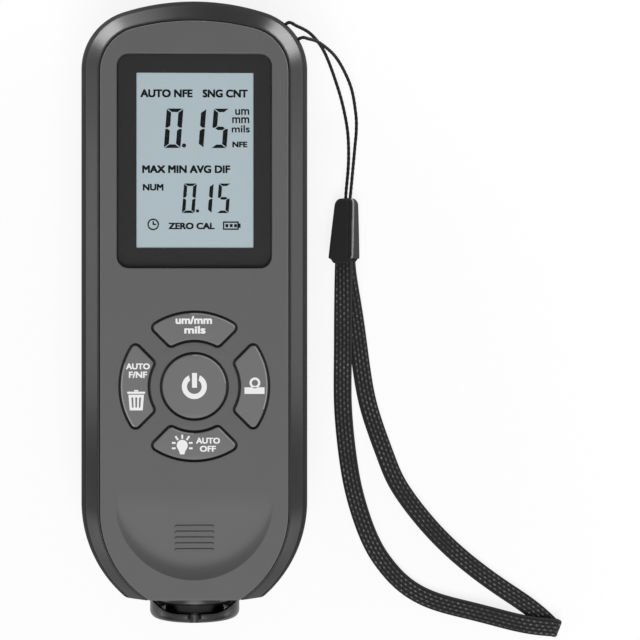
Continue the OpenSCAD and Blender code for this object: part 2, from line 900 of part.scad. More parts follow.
// Sliding sleeve: end ring with two notches in its rim, barrel and stop flange
module probe_sleeve() {
    h_back = h_stop + fit + stop_t;
    color("#161616")
        difference() {
            on_probe()
                rotate_extrude()
                    polygon([[tip_d / 2 + fit, 0], [ring_d / 2 - 0.4, 0], [ring_d / 2, 0.4],
                             [ring_d / 2, ring_t - 0.2], [ring_d / 2 - 0.2, ring_t], [barrel_d / 2, ring_t],
                             [barrel_d / 2, h_stop + fit], [stop_d / 2, h_stop + fit], [stop_d / 2, h_back],
                             [coil_bore / 2, h_back], [coil_bore / 2, h_core], [tip_d / 2 + fit, h_core]]);
            for (side = [-1, 1])
                translate([0, 0, side * ring_d / 2])
                    on_probe(-cut)
                        cylinder(d = notch_w, h = ring_t + 1.5 * cut, $fn = 32);
        }
}

// Hardened tip with a round end
module probe_tip() {
    color("#c9ccd0")
        on_probe(tip_d / 2) {
            sphere(d = tip_d);
            cylinder(d = tip_d, h = h_core - tip_d / 2);
        }
}

// Core rod with the two bobbin cheeks
module probe_core() {
    color("#3a3a3c")
        on_probe(h_core) {
            cylinder(d = core_d, h = core_l);
            for (h = [0, core_l - bobbin_t])
                translate([0, 0, h])
                    cylinder(d = coil_bore - 2 * fit, h = bobbin_t);
        }
}

module probe_coil() {
    color("#b06a35")
        on_probe(h_core + bobbin_t)
            difference() {
                cylinder(d = coil_d, h = core_l - 2 * bobbin_t);
                translate([0, 0, -cut])
                    cylinder(d = core_d, h = core_l);
            }
}

module probe_spring() {
    h_low = h_stop + fit + stop_t;
    color("#c8c8c8")
        on_probe(h_low)
            coil(spring_d / 2, spring_d / 2, spring_wire, h_cap - h_low, spring_turns, 20);
}

// Tapered clip between cord and strap, rolled on its side
module strap_clip() {
    color("#141414")
        hull() {
            clip_end(clip_low, clip_low_size, eps);
            clip_end(clip_high, clip_high_size, -eps);
        }
}

module clip_end(place, size, depth) {
    translate(place)
        rotate([0, -clip_roll, 0])
            rotate([-90, 0, 0])
                translate([0, 0, min(0, depth)])
                    linear_extrude(abs(depth))
                        rounded_rect(size.x, size.y, clip_r, $fn = 24);
}

module lanyard_cord() {
    color("#101010")
        cord(smooth(cord_route, 2, cord_d), cord_d);
}

// Ring of the flat strap: centre, sideways and upward directions
function strap_ring(p, side, up) =
    let (w = strap_w / 2, t = strap_t / 2, e = strap_t / 4)
    [for (q = [[w, e - t], [w, t - e], [w - e, t], [e - w, t], [-w, t - e], [-w, e - t], [e - w, -t], [w - e, -t]])
        p + q.x * side + q.y * up];
function strap_side(t) = unit([-t.y, t.x, 0]);

// Rings along one leg; the strap turns from the clip's roll to flat over its first stretch
function leg_rings(leg, sign) =
    [for (i = [0:len(leg) - 1])
        let (t = heading(leg, i), side = sign * strap_side(t),
             k = clip_roll * max(0, leg[i].y + 1.8) / (clip_low.y + 1.8),
             flat_side = [side.x, side.y, 0], up = [0, 0, 1])
        strap_ring(leg[i], cos(k) * flat_side + sin(k) * up * sign_of(side.x),
                   sign * (cos(k) * up - sin(k) * sign_of(side.x) * flat_side))];
function sign_of(v) = v < 0 ? -1 : 1;

module wrist_strap() {
    crease = [cos(strap_crease), sin(strap_crease), 0];
    out = [crease.y, -crease.x, 0];
    r = strap_fold.z - strap_t / 2;
    front = smooth(strap_front, 2, strap_t);
    back = smooth(strap_back, 2, strap_t);
    color("#121212")
        skin(concat(
            leg_rings(front, 1),
            [for (a = [0:45:180])
                strap_ring(strap_fold + r * (sin(a) * out + [0, 0, cos(a)]), crease,
                           sin(a) * out + [0, 0, cos(a)])],
            leg_rings(back, -1)));
}

rear_cover();
front_frame();
face_panel();
display_window();
lcd_panel();
lcd_backlight();
lcd_frame();
lcd_connectors();
main_board();
board_chips();
buzzer();
key_switches();
board_screws();
case_screws();
battery_left();
battery_right();
battery_springs();
battery_plates();
battery_door();
probe_collar();
probe_end_cap();
probe_sleeve();
probe_tip();
probe_core();
probe_coil();
probe_spring();
power_key();
units_key();
mode_key();
zero_key();
light_key();
power_plunger();
units_plunger();
mode_plunger();
zero_plunger();
light_plunger();
strap_clip();
lanyard_cord();
wrist_strap();
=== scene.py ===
import math

import bmesh
import bpy
import numpy as np
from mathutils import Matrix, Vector


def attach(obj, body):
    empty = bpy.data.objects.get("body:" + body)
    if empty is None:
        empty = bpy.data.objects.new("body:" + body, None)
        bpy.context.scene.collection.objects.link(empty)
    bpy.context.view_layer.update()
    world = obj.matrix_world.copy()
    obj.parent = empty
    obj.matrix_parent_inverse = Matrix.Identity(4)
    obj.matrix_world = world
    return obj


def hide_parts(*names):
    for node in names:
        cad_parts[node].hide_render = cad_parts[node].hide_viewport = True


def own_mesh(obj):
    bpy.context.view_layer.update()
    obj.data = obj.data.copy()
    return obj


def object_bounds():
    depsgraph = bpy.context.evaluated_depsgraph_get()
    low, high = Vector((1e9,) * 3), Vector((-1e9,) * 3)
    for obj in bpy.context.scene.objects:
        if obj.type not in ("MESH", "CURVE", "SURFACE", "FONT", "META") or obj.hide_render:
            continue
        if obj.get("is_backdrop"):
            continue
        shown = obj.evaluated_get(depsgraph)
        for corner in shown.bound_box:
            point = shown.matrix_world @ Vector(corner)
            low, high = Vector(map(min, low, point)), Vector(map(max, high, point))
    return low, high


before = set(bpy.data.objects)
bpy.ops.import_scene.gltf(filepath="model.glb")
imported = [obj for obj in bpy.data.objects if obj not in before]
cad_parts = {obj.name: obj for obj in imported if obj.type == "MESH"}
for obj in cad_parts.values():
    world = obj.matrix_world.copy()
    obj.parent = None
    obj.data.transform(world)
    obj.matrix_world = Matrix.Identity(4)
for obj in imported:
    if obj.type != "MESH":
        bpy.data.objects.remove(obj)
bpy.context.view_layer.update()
scene = bpy.context.scene
scene.view_settings.view_transform = "Standard"
mm = 0.001
print("frame loaded,", len(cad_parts), "CAD nodes")


# sRGB hex to linear: c / 12.92 in the dark part, ((c + 0.055) / 1.055) ^ 2.4 above it
def linear(code):
    c = np.array([int(code[i:i + 2], 16) for i in (1, 3, 5)]) / 255
    return (*np.where(c <= 0.04045, c / 12.92, ((c + 0.055) / 1.055) ** 2.4), 1.0)


# Sockets of a node, by name or number: each gets a value or a link
def plug(tree, node, sockets):
    for name, value in sockets.items():
        if isinstance(value, bpy.types.NodeSocket):
            tree.links.new(value, node.inputs[name])
        else:
            node.inputs[name].default_value = value


# One node with its settings and sockets
def addNode(tree, kind, settings=(), sockets=()):
    node = tree.nodes.new(kind)
    for name, value in dict(settings).items():
        setattr(node, name, value)
    plug(tree, node, dict(sockets))
    return node


def newFinish(name, sockets):
    finish = bpy.data.materials.new(name)
    finish.use_nodes = True
    shader = finish.node_tree.nodes["Principled BSDF"]
    plug(finish.node_tree, shader, sockets)
    return finish, finish.node_tree, shader


# Base colour between two shades in soft clouds of one size in millimetres, on Object coordinates
def clouded(tree, shader, dark, light, sizeMm, detail=2):
    place = addNode(tree, "ShaderNodeTexCoord").outputs["Object"]
    cloud = addNode(tree, "ShaderNodeTexNoise", sockets={
        "Vector": place, "Scale": 1 / (sizeMm * mm), "Detail": detail})
    shade = addNode(tree, "ShaderNodeMix", {"data_type": "RGBA"}, {
        "Factor": cloud.outputs["Fac"], 6: linear(dark), 7: linear(light)})
    plug(tree, shader, {"Base Color": shade.outputs[2]})
    return place


# Fine pattern in roughness, which wanders about its middle, and in bump
def textured(tree, shader, pattern, rough, wander, relief, depthMm):
    sheen = addNode(tree, "ShaderNodeMapRange", sockets={
        "Value": pattern, "To Min": rough - wander, "To Max": rough + wander})
    bump = addNode(tree, "ShaderNodeBump", sockets={
        "Height": pattern, "Strength": relief, "Distance": depthMm * mm})
    plug(tree, shader, {"Roughness": sheen.outputs["Result"], "Normal": bump.outputs["Normal"]})


# Moulded plastic: two close shades in broad clouds, with the fine grain of the mould
def mouldedPlastic(name, dark, light, rough, grainMm, grainDepth, specular=0.5):
    finish, tree, shader = newFinish(name, {"IOR": 1.5, "Specular IOR Level": specular})
    place = clouded(tree, shader, dark, light, sizeMm=9, detail=3)
    grain = addNode(tree, "ShaderNodeTexNoise", sockets={
        "Vector": place, "Scale": 1 / (grainMm * mm), "Detail": 2})
    textured(tree, shader, grain.outputs["Fac"], rough, wander=0.05, relief=0.35, depthMm=grainDepth)
    return finish


# Plated or drawn metal: fine lines along one axis, forty times as long as they are wide
def drawnMetal(name, colour, rough, lineMm, axis):
    finish, tree, shader = newFinish(name, {"Metallic": 1.0, "Base Color": linear(colour)})
    place = addNode(tree, "ShaderNodeTexCoord").outputs["Object"]
    stretch = [1 / (lineMm * mm)] * 3
    stretch[axis] /= 40
    lines = addNode(tree, "ShaderNodeMapping", sockets={"Vector": place, "Scale": stretch})
    streak = addNode(tree, "ShaderNodeTexNoise", sockets={
        "Vector": lines.outputs["Vector"], "Scale": 1, "Detail": 2})
    textured(tree, shader, streak.outputs["Fac"], rough, wander=0.08, relief=0.2, depthMm=0.01)
    return finish


# Quads of a grid of rows x cols points, wrapped over its columns where closed
def gridFaces(rows, cols, closed=False):
    i, j = np.meshgrid(np.arange(rows - 1), np.arange(cols if closed else cols - 1), indexing="ij")
    a, b = i * cols + j, i * cols + (j + 1) % cols
    return np.stack([a, b, b + cols, a + cols], -1).reshape(-1, 4)


# Object with its data, linked into the scene at the origin
def placed(name, data):
    thing = bpy.data.objects.new(name, data)
    scene.collection.objects.link(thing)
    return thing


# Faces turned outwards and shaded smooth, after points closer than merge millimetres are made one
def turnedOut(mesh, merge=0.0):
    work = bmesh.new()
    work.from_mesh(mesh)
    if merge:
        bmesh.ops.remove_doubles(work, verts=work.verts, dist=merge * mm)
    bmesh.ops.recalc_face_normals(work, faces=work.faces)
    work.to_mesh(mesh)
    work.free()
    mesh.shade_smooth()


# One mesh out of several (points, faces) in millimetres, with sharp edges above an angle
def joinedMesh(name, parts, sharp=35):
    start, points, faces = 0, [], []
    for p, f in parts:
        points.append(np.asarray(p, float).reshape(-1, 3))
        faces += [[v + start for v in face] for face in (f.tolist() if isinstance(f, np.ndarray) else f)]
        start += len(points[-1])
    mesh = bpy.data.meshes.new(name)
    mesh.from_pydata(np.vstack(points) * mm, [], faces)
    turnedOut(mesh, merge=0.002)
    mesh.set_sharp_from_angle(angle=math.radians(sharp))
    return mesh


def newPiece(name, mesh, finish, body, hides=(), weighted=False):
    piece = placed(name, mesh)
    mesh.materials.clear()
    mesh.materials.append(finish)
    if weighted:
        flat = piece.modifiers.new("flat faces", "WEIGHTED_NORMAL")
        flat.keep_sharp, flat.weight = True, 80
    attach(piece, body)
    if hides:
        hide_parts(*hides)
    return piece


# More finishes on a mesh: pick gives each face's finish, 0 for the first one
def refinish(mesh, pick, *finishes):
    for finish in finishes:
        mesh.materials.append(finish)
    mesh.polygons.foreach_set("material_index", pick.astype(np.int32))


# Centre (in millimetres) and normal of each face of a mesh
def facesOf(mesh):
    values = np.zeros((2, len(mesh.polygons) * 3))
    mesh.polygons.foreach_get("center", values[0])
    mesh.polygons.foreach_get("normal", values[1])
    return values[0].reshape(-1, 3) / mm, values[1].reshape(-1, 3)


# Skin over closed rings of equal point counts, rows x points x 3, with a flat cap on both ends
def loft(rings):
    rings = np.asarray(rings, float)
    rows, count = rings.shape[:2]
    faces = gridFaces(rows, count, True).tolist()
    faces += [list(range(count))[::-1], list(range((rows - 1) * count, rows * count))]
    return rings.reshape(-1, 3), faces


def level(loop, z):
    return np.column_stack([loop, np.full(len(loop), z)])


def prism(loop, zLow, zHigh):
    return loft([level(loop, zLow), level(loop, zHigh)])


def rect(x0, x1, y0, y1):
    return np.array([[x0, y0], [x1, y0], [x1, y1], [x0, y1]])


def box(x0, x1, y0, y1, z0, z1):
    return prism(rect(x0, x1, y0, y1), z0, z1)


# Points on an arc about (x, y), from angle a to angle b in degrees
def arc(x, y, r, a, b, count):
    t = np.radians(np.linspace(a, b, count))
    return np.column_stack([x + r * np.cos(t), y + r * np.sin(t)])


def circle(x, y, r, count=64):
    return arc(x, y, r, 0, 360, count + 1)[:-1]


# Rectangle with quarter arcs of radius r on its corners, counter-clockwise
def roundRect(x0, x1, y0, y1, r, count=9):
    return np.vstack([arc(x1 - r, y0 + r, r, -90, 0, count), arc(x1 - r, y1 - r, r, 0, 90, count),
                      arc(x0 + r, y1 - r, r, 90, 180, count), arc(x0 + r, y0 + r, r, 180, 270, count)])


# Solid shape of a mesh after cutting from it or adding to it; the tools are gone afterwards
def carve(name, parts, steps):
    target = placed(name, joinedMesh(name, parts))
    tools = []
    for operation, tool in steps:
        tools.append(placed("tool", joinedMesh("tool", [tool])))
        cut = target.modifiers.new(operation, "BOOLEAN")
        cut.operation, cut.solver, cut.object = operation, "EXACT", tools[-1]
    bpy.context.view_layer.update()
    mesh = bpy.data.meshes.new_from_object(target.evaluated_get(bpy.context.evaluated_depsgraph_get()))
    for spare in [target, *tools]:
        bpy.data.objects.remove(spare)
    mesh.shade_smooth()
    mesh.set_sharp_from_angle(angle=math.radians(35))
    return mesh


# Normals of a counter-clockwise loop, pointing out of it: the neighbours' chord turned by a right angle
def outwardOf(loop):
    t = np.roll(loop, -1, 0) - np.roll(loop, 1, 0)
    n = np.column_stack([t[:, 1], -t[:, 0]])
    return n / np.linalg.norm(n, axis=1, keepdims=True)


# Band along a closed loop: each profile point is (distance out of the loop, height)
def band(loop, profile):
    n = outwardOf(loop)
    rows = np.array([level(loop + n * out, z) for out, z in profile])
    return rows.reshape(-1, 3), gridFaces(len(profile), len(loop), True)


# Quarter round of radius r that leads from a flat top at z into a wall, going out of the loop
def roundEdge(r, z, sign=1, count=6):
    t = np.radians(np.linspace(0, 90, count))
    return [(sign * r * (np.sin(a) - 1), z - r * (1 - np.cos(a))) for a in t]


# Flat surface between loops at height z, holes by the even-odd rule
def filled(loops, z):
    curve = bpy.data.curves.new("flat", "CURVE")
    curve.dimensions, curve.fill_mode = "2D", "BOTH"
    for loop in loops:
        spline = curve.splines.new("POLY")
        spline.points.add(len(loop) - 1)
        corners = np.column_stack([level(loop, 0), np.ones(len(loop))])
        spline.points.foreach_set("co", corners.ravel())
        spline.use_cyclic_u = True
    return meshData(curve, z)


# Points and faces of a flat curve or of text, laid at height z
def meshData(curve, z):
    holder = bpy.data.objects.new("flat", curve)
    mesh = bpy.data.meshes.new_from_object(holder)
    points = np.zeros(len(mesh.vertices) * 3)
    mesh.vertices.foreach_get("co", points)
    points = points.reshape(-1, 3)
    points[:, 2] += z
    faces = [list(f.vertices) for f in mesh.polygons]
    bpy.data.objects.remove(holder)
    bpy.data.curves.remove(curve)
    bpy.data.meshes.remove(mesh)
    return points, faces


# Satin ABS of the bevel: nearly black, soft highlights, grain of 0.25 mm (coarse enough to show)
bevelAbs = mouldedPlastic("abs_dark_satin", "#212121", "#262626", 0.36, 0.25, 0.005, 0.3)
# Same ABS, matt, on the side walls below the bevel
wallAbs = mouldedPlastic("abs_dark_matt", "#232323", "#292929", 0.62, 0.3, 0.012, 0.06)
# Same ABS with the coarser texture that hides scratches on the back
doorAbs = mouldedPlastic("abs_dark_textured", "#242424", "#2b2b2b", 0.55, 0.35, 0.02, 0.2)
# Painted mid-grey front panel, fine matt lacquer
panelPaint = mouldedPlastic("abs_grey_matt_lacquer", "#626262", "#666666", 0.58, 0.22, 0.005, 0.2)
# Key caps: ABS in a lighter grey, a little smoother than the panel; a paler copy on one side of their edges
# is a painted highlight
keyAbs = mouldedPlastic("abs_key_grey", "#707070", "#757575", 0.46, 0.2, 0.004, 0.22)
keyHighlightAbs = mouldedPlastic("abs_key_grey_painted_highlight", "#989898", "#a2a2a2", 0.4, 0.2, 0.003, 0.22)
# Turned acetal of the probe: black, waxy, a soft broad highlight
probeAcetal = mouldedPlastic("acetal_black", "#121212", "#181818", 0.33, 0.3, 0.004, 0.4)
# Moulded nylon of the clip: black and dull with hardly a highlight, and a paler copy along one edge as a
# painted highlight
clipNylon = mouldedPlastic("nylon_black_moulded", "#2e2e2e", "#343434", 0.5, 0.3, 0.006, 0.025)
clipHighlightNylon = mouldedPlastic("nylon_black_painted_highlight", "#7c7c7c", "#8e8e8e", 0.5, 0.3, 0.006, 0.1)
# Plain ABS of the parts inside: even and half matt
# The black one also gives painted shade on the walls of the key caps and of their openings
blackAbs = mouldedPlastic("abs_black", "#121212", "#181818", 0.5, 0.25, 0.005)
whiteAbs = mouldedPlastic("abs_white", "#dcdcd4", "#e6e6de", 0.55, 0.25, 0.004)
# Steel: nickel gives a warm silver, zinc a duller grey, polish a tight highlight, tin a dark grey
contactSteel = drawnMetal("steel_nickel_plated", "#c9c6bf", 0.3, 0.12, 1)
screwSteel = drawnMetal("steel_zinc_plated", "#aeb0b2", 0.35, 0.1, 2)
tipSteel = drawnMetal("steel_hardened_polished", "#c4c7cb", 0.16, 0.08, 1)
switchSteel = drawnMetal("steel_tinned", "#8f9294", 0.38, 0.15, 0)
# Enamelled copper: warm, with fine lines from turn to turn
copperWire = drawnMetal("copper_enamelled", "#b5693a", 0.28, 0.16, 0)
# Sintered ferrite: charcoal and faintly grainy; silicone of the display's connectors: pink and matt
ferrite = mouldedPlastic("ferrite_sintered", "#343437", "#3d3d40", 0.55, 0.15, 0.01)
stripSilicone = mouldedPlastic("silicone_pink", "#c98592", "#d3929e", 0.6, 0.3, 0.004)


# Printed ink, flat and opaque, a little uneven where the squeegee passed
def printedInk(name, dark, light, rough):
    finish, tree, shader = newFinish(name, {"IOR": 1.45, "Roughness": rough, "Specular IOR Level": 0.1})
    clouded(tree, shader, dark, light, sizeMm=1.5)
    return finish


legendInk = printedInk("ink_white", "#fafafa", "#ffffff", 0.5)
segmentInk = printedInk("lcd_segment_dark", "#0d1114", "#12171a", 0.4)
borderInk = printedInk("ink_black_backprint", "#303030", "#333333", 0.35)

# Reflective display under its polariser: pale blue grey, very fine speckle of the reflector behind it
displayGlass, tree, shader = newFinish("lcd_polariser", {
    "IOR": 1.5, "Roughness": 0.3, "Specular IOR Level": 0.2})
clouded(tree, shader, "#bdced5", "#c4d4db", sizeMm=0.4)

# Clear acrylic of the window: nearly all light passes, the rest is a soft reflection with faint wipe marks
windowAcrylic, tree, shader = newFinish("acrylic_clear", {
    "Base Color": linear("#101010"), "IOR": 1.49, "Alpha": 0.02, "Specular IOR Level": 0.4})
place = addNode(tree, "ShaderNodeTexCoord").outputs["Object"]
wipe = addNode(tree, "ShaderNodeTexNoise", sockets={"Vector": place, "Scale": 1 / (6 * mm), "Detail": 4})
sheen = addNode(tree, "ShaderNodeMapRange", sockets={
    "Value": wipe.outputs["Fac"], "To Min": 0.08, "To Max": 0.16})
plug(tree, shader, {"Roughness": sheen.outputs["Result"]})

# Solder mask over copper: green, glossy, with darker lines where no copper lies under it
boardMask, tree, shader = newFinish("solder_mask_green", {"IOR": 1.5, "Roughness": 0.28})
place = addNode(tree, "ShaderNodeTexCoord").outputs["Object"]
tracks = addNode(tree, "ShaderNodeTexBrick", {"offset": 0.35}, {
    "Vector": place, "Scale": 1 / (6 * mm), "Color1": linear("#1c5a37"), "Color2": linear("#1f633d"),
    "Mortar": linear("#144528"), "Mortar Size": 0.035})
plug(tree, shader, {"Base Color": tracks.outputs["Color"]})

# Plain cell sleeve: green film with a darker band near the button end of both cells
cellFilm, tree, shader = newFinish("pvc_cell_sleeve", {"IOR": 1.53, "Roughness": 0.3})
place = addNode(tree, "ShaderNodeTexCoord").outputs["Object"]
bands = addNode(tree, "ShaderNodeTexWave", {"bands_direction": "Y"}, {
    "Vector": place, "Scale": 0.05 / (7 * mm), "Distortion": 0})
shade = addNode(tree, "ShaderNodeMix", {"data_type": "RGBA"}, {
    "Factor": bands.outputs["Fac"], 6: linear("#2f6a48"), 7: linear("#3c7a56")})
plug(tree, shader, {"Base Color": shade.outputs[2]})


# Braided nylon on the UV map that counts strands across (u) and along (v). Ribs lie where |cos(2 pi u)| is
# large, with painted shade in the grooves between them; light dashes on the crowns, a painted highlight, lie
# where |1.55 cos(2 pi u) + 0.45 cos(2 pi v)| is large, and the edges are plain where cos(4 pi (u / strands -
# edge)) is
def braidedNylon(name, shades, depth, strands, edge):
    finish, tree, shader = newFinish(name, {"IOR": 1.53, "Roughness": 0.6, "Specular IOR Level": 0.06})
    uv = addNode(tree, "ShaderNodeUVMap", {"uv_map": "strands"}).outputs["UV"]
    turns = addNode(tree, "ShaderNodeVectorMath", {"operation": "SCALE"}, {0: uv, "Scale": 2 * math.pi})
    waves = addNode(tree, "ShaderNodeVectorMath", {"operation": "COSINE"}, {0: turns.outputs["Vector"]})
    across = addNode(tree, "ShaderNodeSeparateXYZ", sockets={"Vector": waves.outputs["Vector"]}).outputs["X"]
    crown = addNode(tree, "ShaderNodeVectorMath", {"operation": "DOT_PRODUCT"}, {
        0: waves.outputs["Vector"], 1: (1.55, 0.45, 0)}).outputs["Value"]
    u = addNode(tree, "ShaderNodeSeparateXYZ", sockets={"Vector": uv}).outputs["X"]
    border = addNode(tree, "ShaderNodeMath", {"operation": "MULTIPLY_ADD"}, {
        0: u, 1: 4 * math.pi / strands, 2: -4 * math.pi * edge}).outputs[0]
    border = addNode(tree, "ShaderNodeMath", {"operation": "COSINE"}, {0: border}).outputs[0]
    crown, rib = (addNode(tree, "ShaderNodeMath", {"operation": "ABSOLUTE"}, {0: wave}).outputs[0]
                  for wave in (crown, across))
    fibre, sheen = (addNode(tree, "ShaderNodeTexNoise", sockets={
        "Vector": uv, "Scale": scale, "Detail": detail}).outputs["Fac"]
        for scale, detail in ((3.5, 3), (0.16, 1)))
    # each pattern's range and what it turns into; four multiply into the painted highlight dashes, the last
    # one into the ribs
    shares = [addNode(tree, "ShaderNodeMapRange", sockets={
        "Value": value, "From Min": low, "From Max": high, "To Min": start, "To Max": end}).outputs["Result"]
        for value, low, high, start, end in (
            (crown, 1.4, 1.98, 0, 1), (fibre, 0.3, 0.7, 0, 1), (border, 0.25, 0.6, 1, 0),
            (sheen, 0.35, 0.65, 0.25, 1), (fibre, 0.2, 0.8, 0.6, 1))]
    paintedGlint = shares[0]
    for share in shares[1:4]:
        paintedGlint = addNode(tree, "ShaderNodeMath", {"operation": "MULTIPLY"}, {0: paintedGlint, 1: share}).outputs[0]
    rib = addNode(tree, "ShaderNodeMath", {"operation": "MULTIPLY"}, {0: rib, 1: shares[4]}).outputs[0]
    shade = linear(shades[0])
    for factor, light in ((rib, shades[1]), (paintedGlint, shades[2])):
        shade = addNode(tree, "ShaderNodeMix", {"data_type": "RGBA"}, {
            "Factor": factor, 6: shade, 7: linear(light)}).outputs[2]
    bump = addNode(tree, "ShaderNodeBump", sockets={"Height": fibre, "Strength": 0.5, "Distance": depth * mm})
    plug(tree, shader, {"Base Color": shade, "Normal": bump.outputs["Normal"]})
    return finish


# shades: painted shade in the grooves, the ribs, and the painted highlight of the crown dashes
strapNylon = braidedNylon("nylon_braid_black", ("#181818", "#363636", "#969696"), 0.03, 6, 0.109)
cordNylon = braidedNylon("nylon_twist_black", ("#161616", "#242424", "#3a3a3a"), 0.02, 2, 0.0)
print("finishes made")

studio = {
    "floorHalf": 1500, "floorZ": -0.02, "floorColours": ("#f7f7f7", "#ffffff"),
    "camera": (2, -1.75, 390), "turn": 1.38, "sensor": 36, "lens": 93.9, "shiftX": 0.1191,
    "clip": (0.005, 20),
    "ambient": 0.24, "floorGlow": 0.84,
    # name: place and aim in millimetres, width, height, watts; the low lamps stay under the face
    "lamps": {
        "overhead": ((0, -960, 1520), (0, 0, 0), 1200, 1200, 25.6),
        "upper_left": ((-96, 189, 13), (-17, 61, 13), 125, 26, 0.32),
        "upper_right": ((127, 163, 13), (18, 60, 13), 110, 26, 0.28),
        "left_wall": ((-150, 9, 13), (-25, 9, 13), 98, 26, 0.031),
        "right_wall": ((150, 9, 13), (25, 9, 13), 98, 26, 0.028),
        "left_low": ((-146, -100, 13), (-23, -46, 13), 60, 26, 0.02),
        "right_low": ((146, -100, 13), (23, -46, 13), 60, 26, 0.02),
    },
    # dark cards that only reflections see: both ends of the foot, the head's shift along Y, the height
    "cards": ((-44, 120, 44, 120, 0, 60), (-34, 71, 34, 71, 49, 0.6), (-105, -58, -105, -27, 0, 40),
              (105, -58, 105, -27, 0, 40), (-104, -124, -46, -152, 0, 40), (104, -124, 46, -152, 0, 40)),
    "cardColour": "#363636", "cardFoot": 0.2,
}

camera = placed("camera", bpy.data.cameras.new("camera"))
camera.data.sensor_width, camera.data.lens = studio["sensor"], studio["lens"]
camera.data.shift_x = studio["shiftX"]
camera.data.clip_start, camera.data.clip_end = studio["clip"]
camera.location = np.array(studio["camera"]) * mm
camera.rotation_euler = (0, -math.radians(studio["turn"]), 0)
scene.camera = camera

for name, (place, aim, width, height, watts) in studio["lamps"].items():
    lamp = placed(name, bpy.data.lights.new(name, "AREA"))
    lamp.data.shape, lamp.data.size, lamp.data.size_y = "RECTANGLE", width * mm, height * mm
    lamp.data.energy = watts
    lamp.location = np.array(place) * mm
    lamp.rotation_euler = (Vector(aim) - Vector(place)).to_track_quat("-Z", "Y").to_euler()
    lamp.visible_camera = False


# 1 for rays to the eye, in reflections and through glass, 0 for rays that only light
def seenRays(tree):
    rays = addNode(tree, "ShaderNodeLightPath").outputs
    seen = rays["Is Camera Ray"]
    for kind in ("Is Glossy Ray", "Is Transmission Ray"):
        seen = addNode(tree, "ShaderNodeMath", {"operation": "MAXIMUM"}, {0: seen, 1: rays[kind]}).outputs[0]
    return seen


# Flat sheet of the studio between four corners
def sheet(name, corners, finish):
    flat = placed(name, joinedMesh(name, [(np.array(corners), [[0, 1, 2, 3]])]))
    flat.data.materials.append(finish)
    flat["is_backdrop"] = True
    return flat


# Paper floor: pale and matt, it keeps the shadow
floorPaper, tree, shader = newFinish("paper_white", {"Roughness": 0.9, "Specular IOR Level": 0.0})
clouded(tree, shader, *studio["floorColours"], sizeMm=2)
share = addNode(tree, "ShaderNodeMath", {"operation": "MULTIPLY"}, {
    0: seenRays(tree), 1: studio["floorGlow"]})
glow = addNode(tree, "ShaderNodeEmission", sockets={"Color": linear("#ffffff"), "Strength": 1.0})
blend = addNode(tree, "ShaderNodeMixShader", sockets={
    0: share.outputs[0], 1: shader.outputs[0], 2: glow.outputs[0]})
plug(tree, tree.nodes["Material Output"], {"Surface": blend.outputs[0]})
half, floorZ = studio["floorHalf"], studio["floorZ"]
sheet("floor", [[x * half, y * half, floorZ] for x, y in ((-1, -1), (1, -1), (1, 1), (-1, 1))], floorPaper)

# Dark cards out of the picture, which the top bevel and the lower sides mirror
cardFelt = newFinish("felt_dark", {
    "Base Color": linear(studio["cardColour"]), "Roughness": 0.95, "Specular IOR Level": 0.0})[0]
foot = studio["cardFoot"]
for k, (x0, y0, x1, y1, shift, top) in enumerate(studio["cards"]):
    card = sheet("card_%d" % k, [
        [x0, y0, foot], [x1, y1, foot], [x1, y1 + shift, top], [x0, y0 + shift, top]], cardFelt)
    card.visible_camera = card.visible_shadow = card.visible_diffuse = False

# Room: white to the eye and in reflections, a plain grey where it only lights
scene.world = bpy.data.worlds.new("room")
scene.world.use_nodes = True
tree = scene.world.node_tree
glow = addNode(tree, "ShaderNodeMapRange", sockets={
    "Value": seenRays(tree), "To Min": studio["ambient"], "To Max": 1.0})
plug(tree, tree.nodes["Background"], {"Strength": glow.outputs["Result"], "Color": linear("#ffffff")})
print("studio set")


# Smooth curve through the route points: Catmull-Rom, each stretch a cubic in its share u
def smoothRoute(route, thick, steps=12, clear=0.02):
    p = np.asarray(route, float)
    i = np.arange(len(p) - 1)
    a, b, c, d = (p[np.clip(i + k, 0, len(p) - 1)][:, None, :] for k in (-1, 0, 1, 2))
    u = (np.arange(steps) / steps)[None, :, None]
    q = (2 * b + (c - a) * u + (2 * a - 5 * b + 4 * c - d) * u ** 2 + (3 * b - a - 3 * c + d) * u ** 3) / 2
    q = np.vstack([q.reshape(-1, 3), p[-1:]])
    q[:, 2] = np.maximum(q[:, 2], thick / 2 + clear)  # no point sinks into the table
    return q


# Line with its bends eased: each pass moves a point half way to the middle of its neighbours; the ends stay
def relaxed(line, passes):
    line = line.copy()
    for k in range(passes):
        line[1:-1] += ((line[:-2] + line[2:]) / 2 - line[1:-1]) / 2
    return line


# Points spread evenly along a line, one each step millimetres
def evenly(line, step, *more):
    s = np.concatenate([[0], np.cumsum(np.linalg.norm(np.diff(line, axis=0), axis=1))])
    at = np.linspace(0, s[-1], int(s[-1] / step) + 1)
    return at, *[np.column_stack([np.interp(at, s, col) for col in part.T]) for part in (line, *more)]


# Closed loop with count points spread evenly, and each one's share of the way around
def spread(loop, count, step):
    around, loop = evenly(np.vstack([loop, loop[:1]]), step)
    at = np.linspace(0, around[-1], count + 1)
    return at / around[-1], np.column_stack([np.interp(at, around, loop[:, k]) for k in (0, 1)])[:-1]


def unit(v):
    return v / np.linalg.norm(v, axis=-1, keepdims=True)


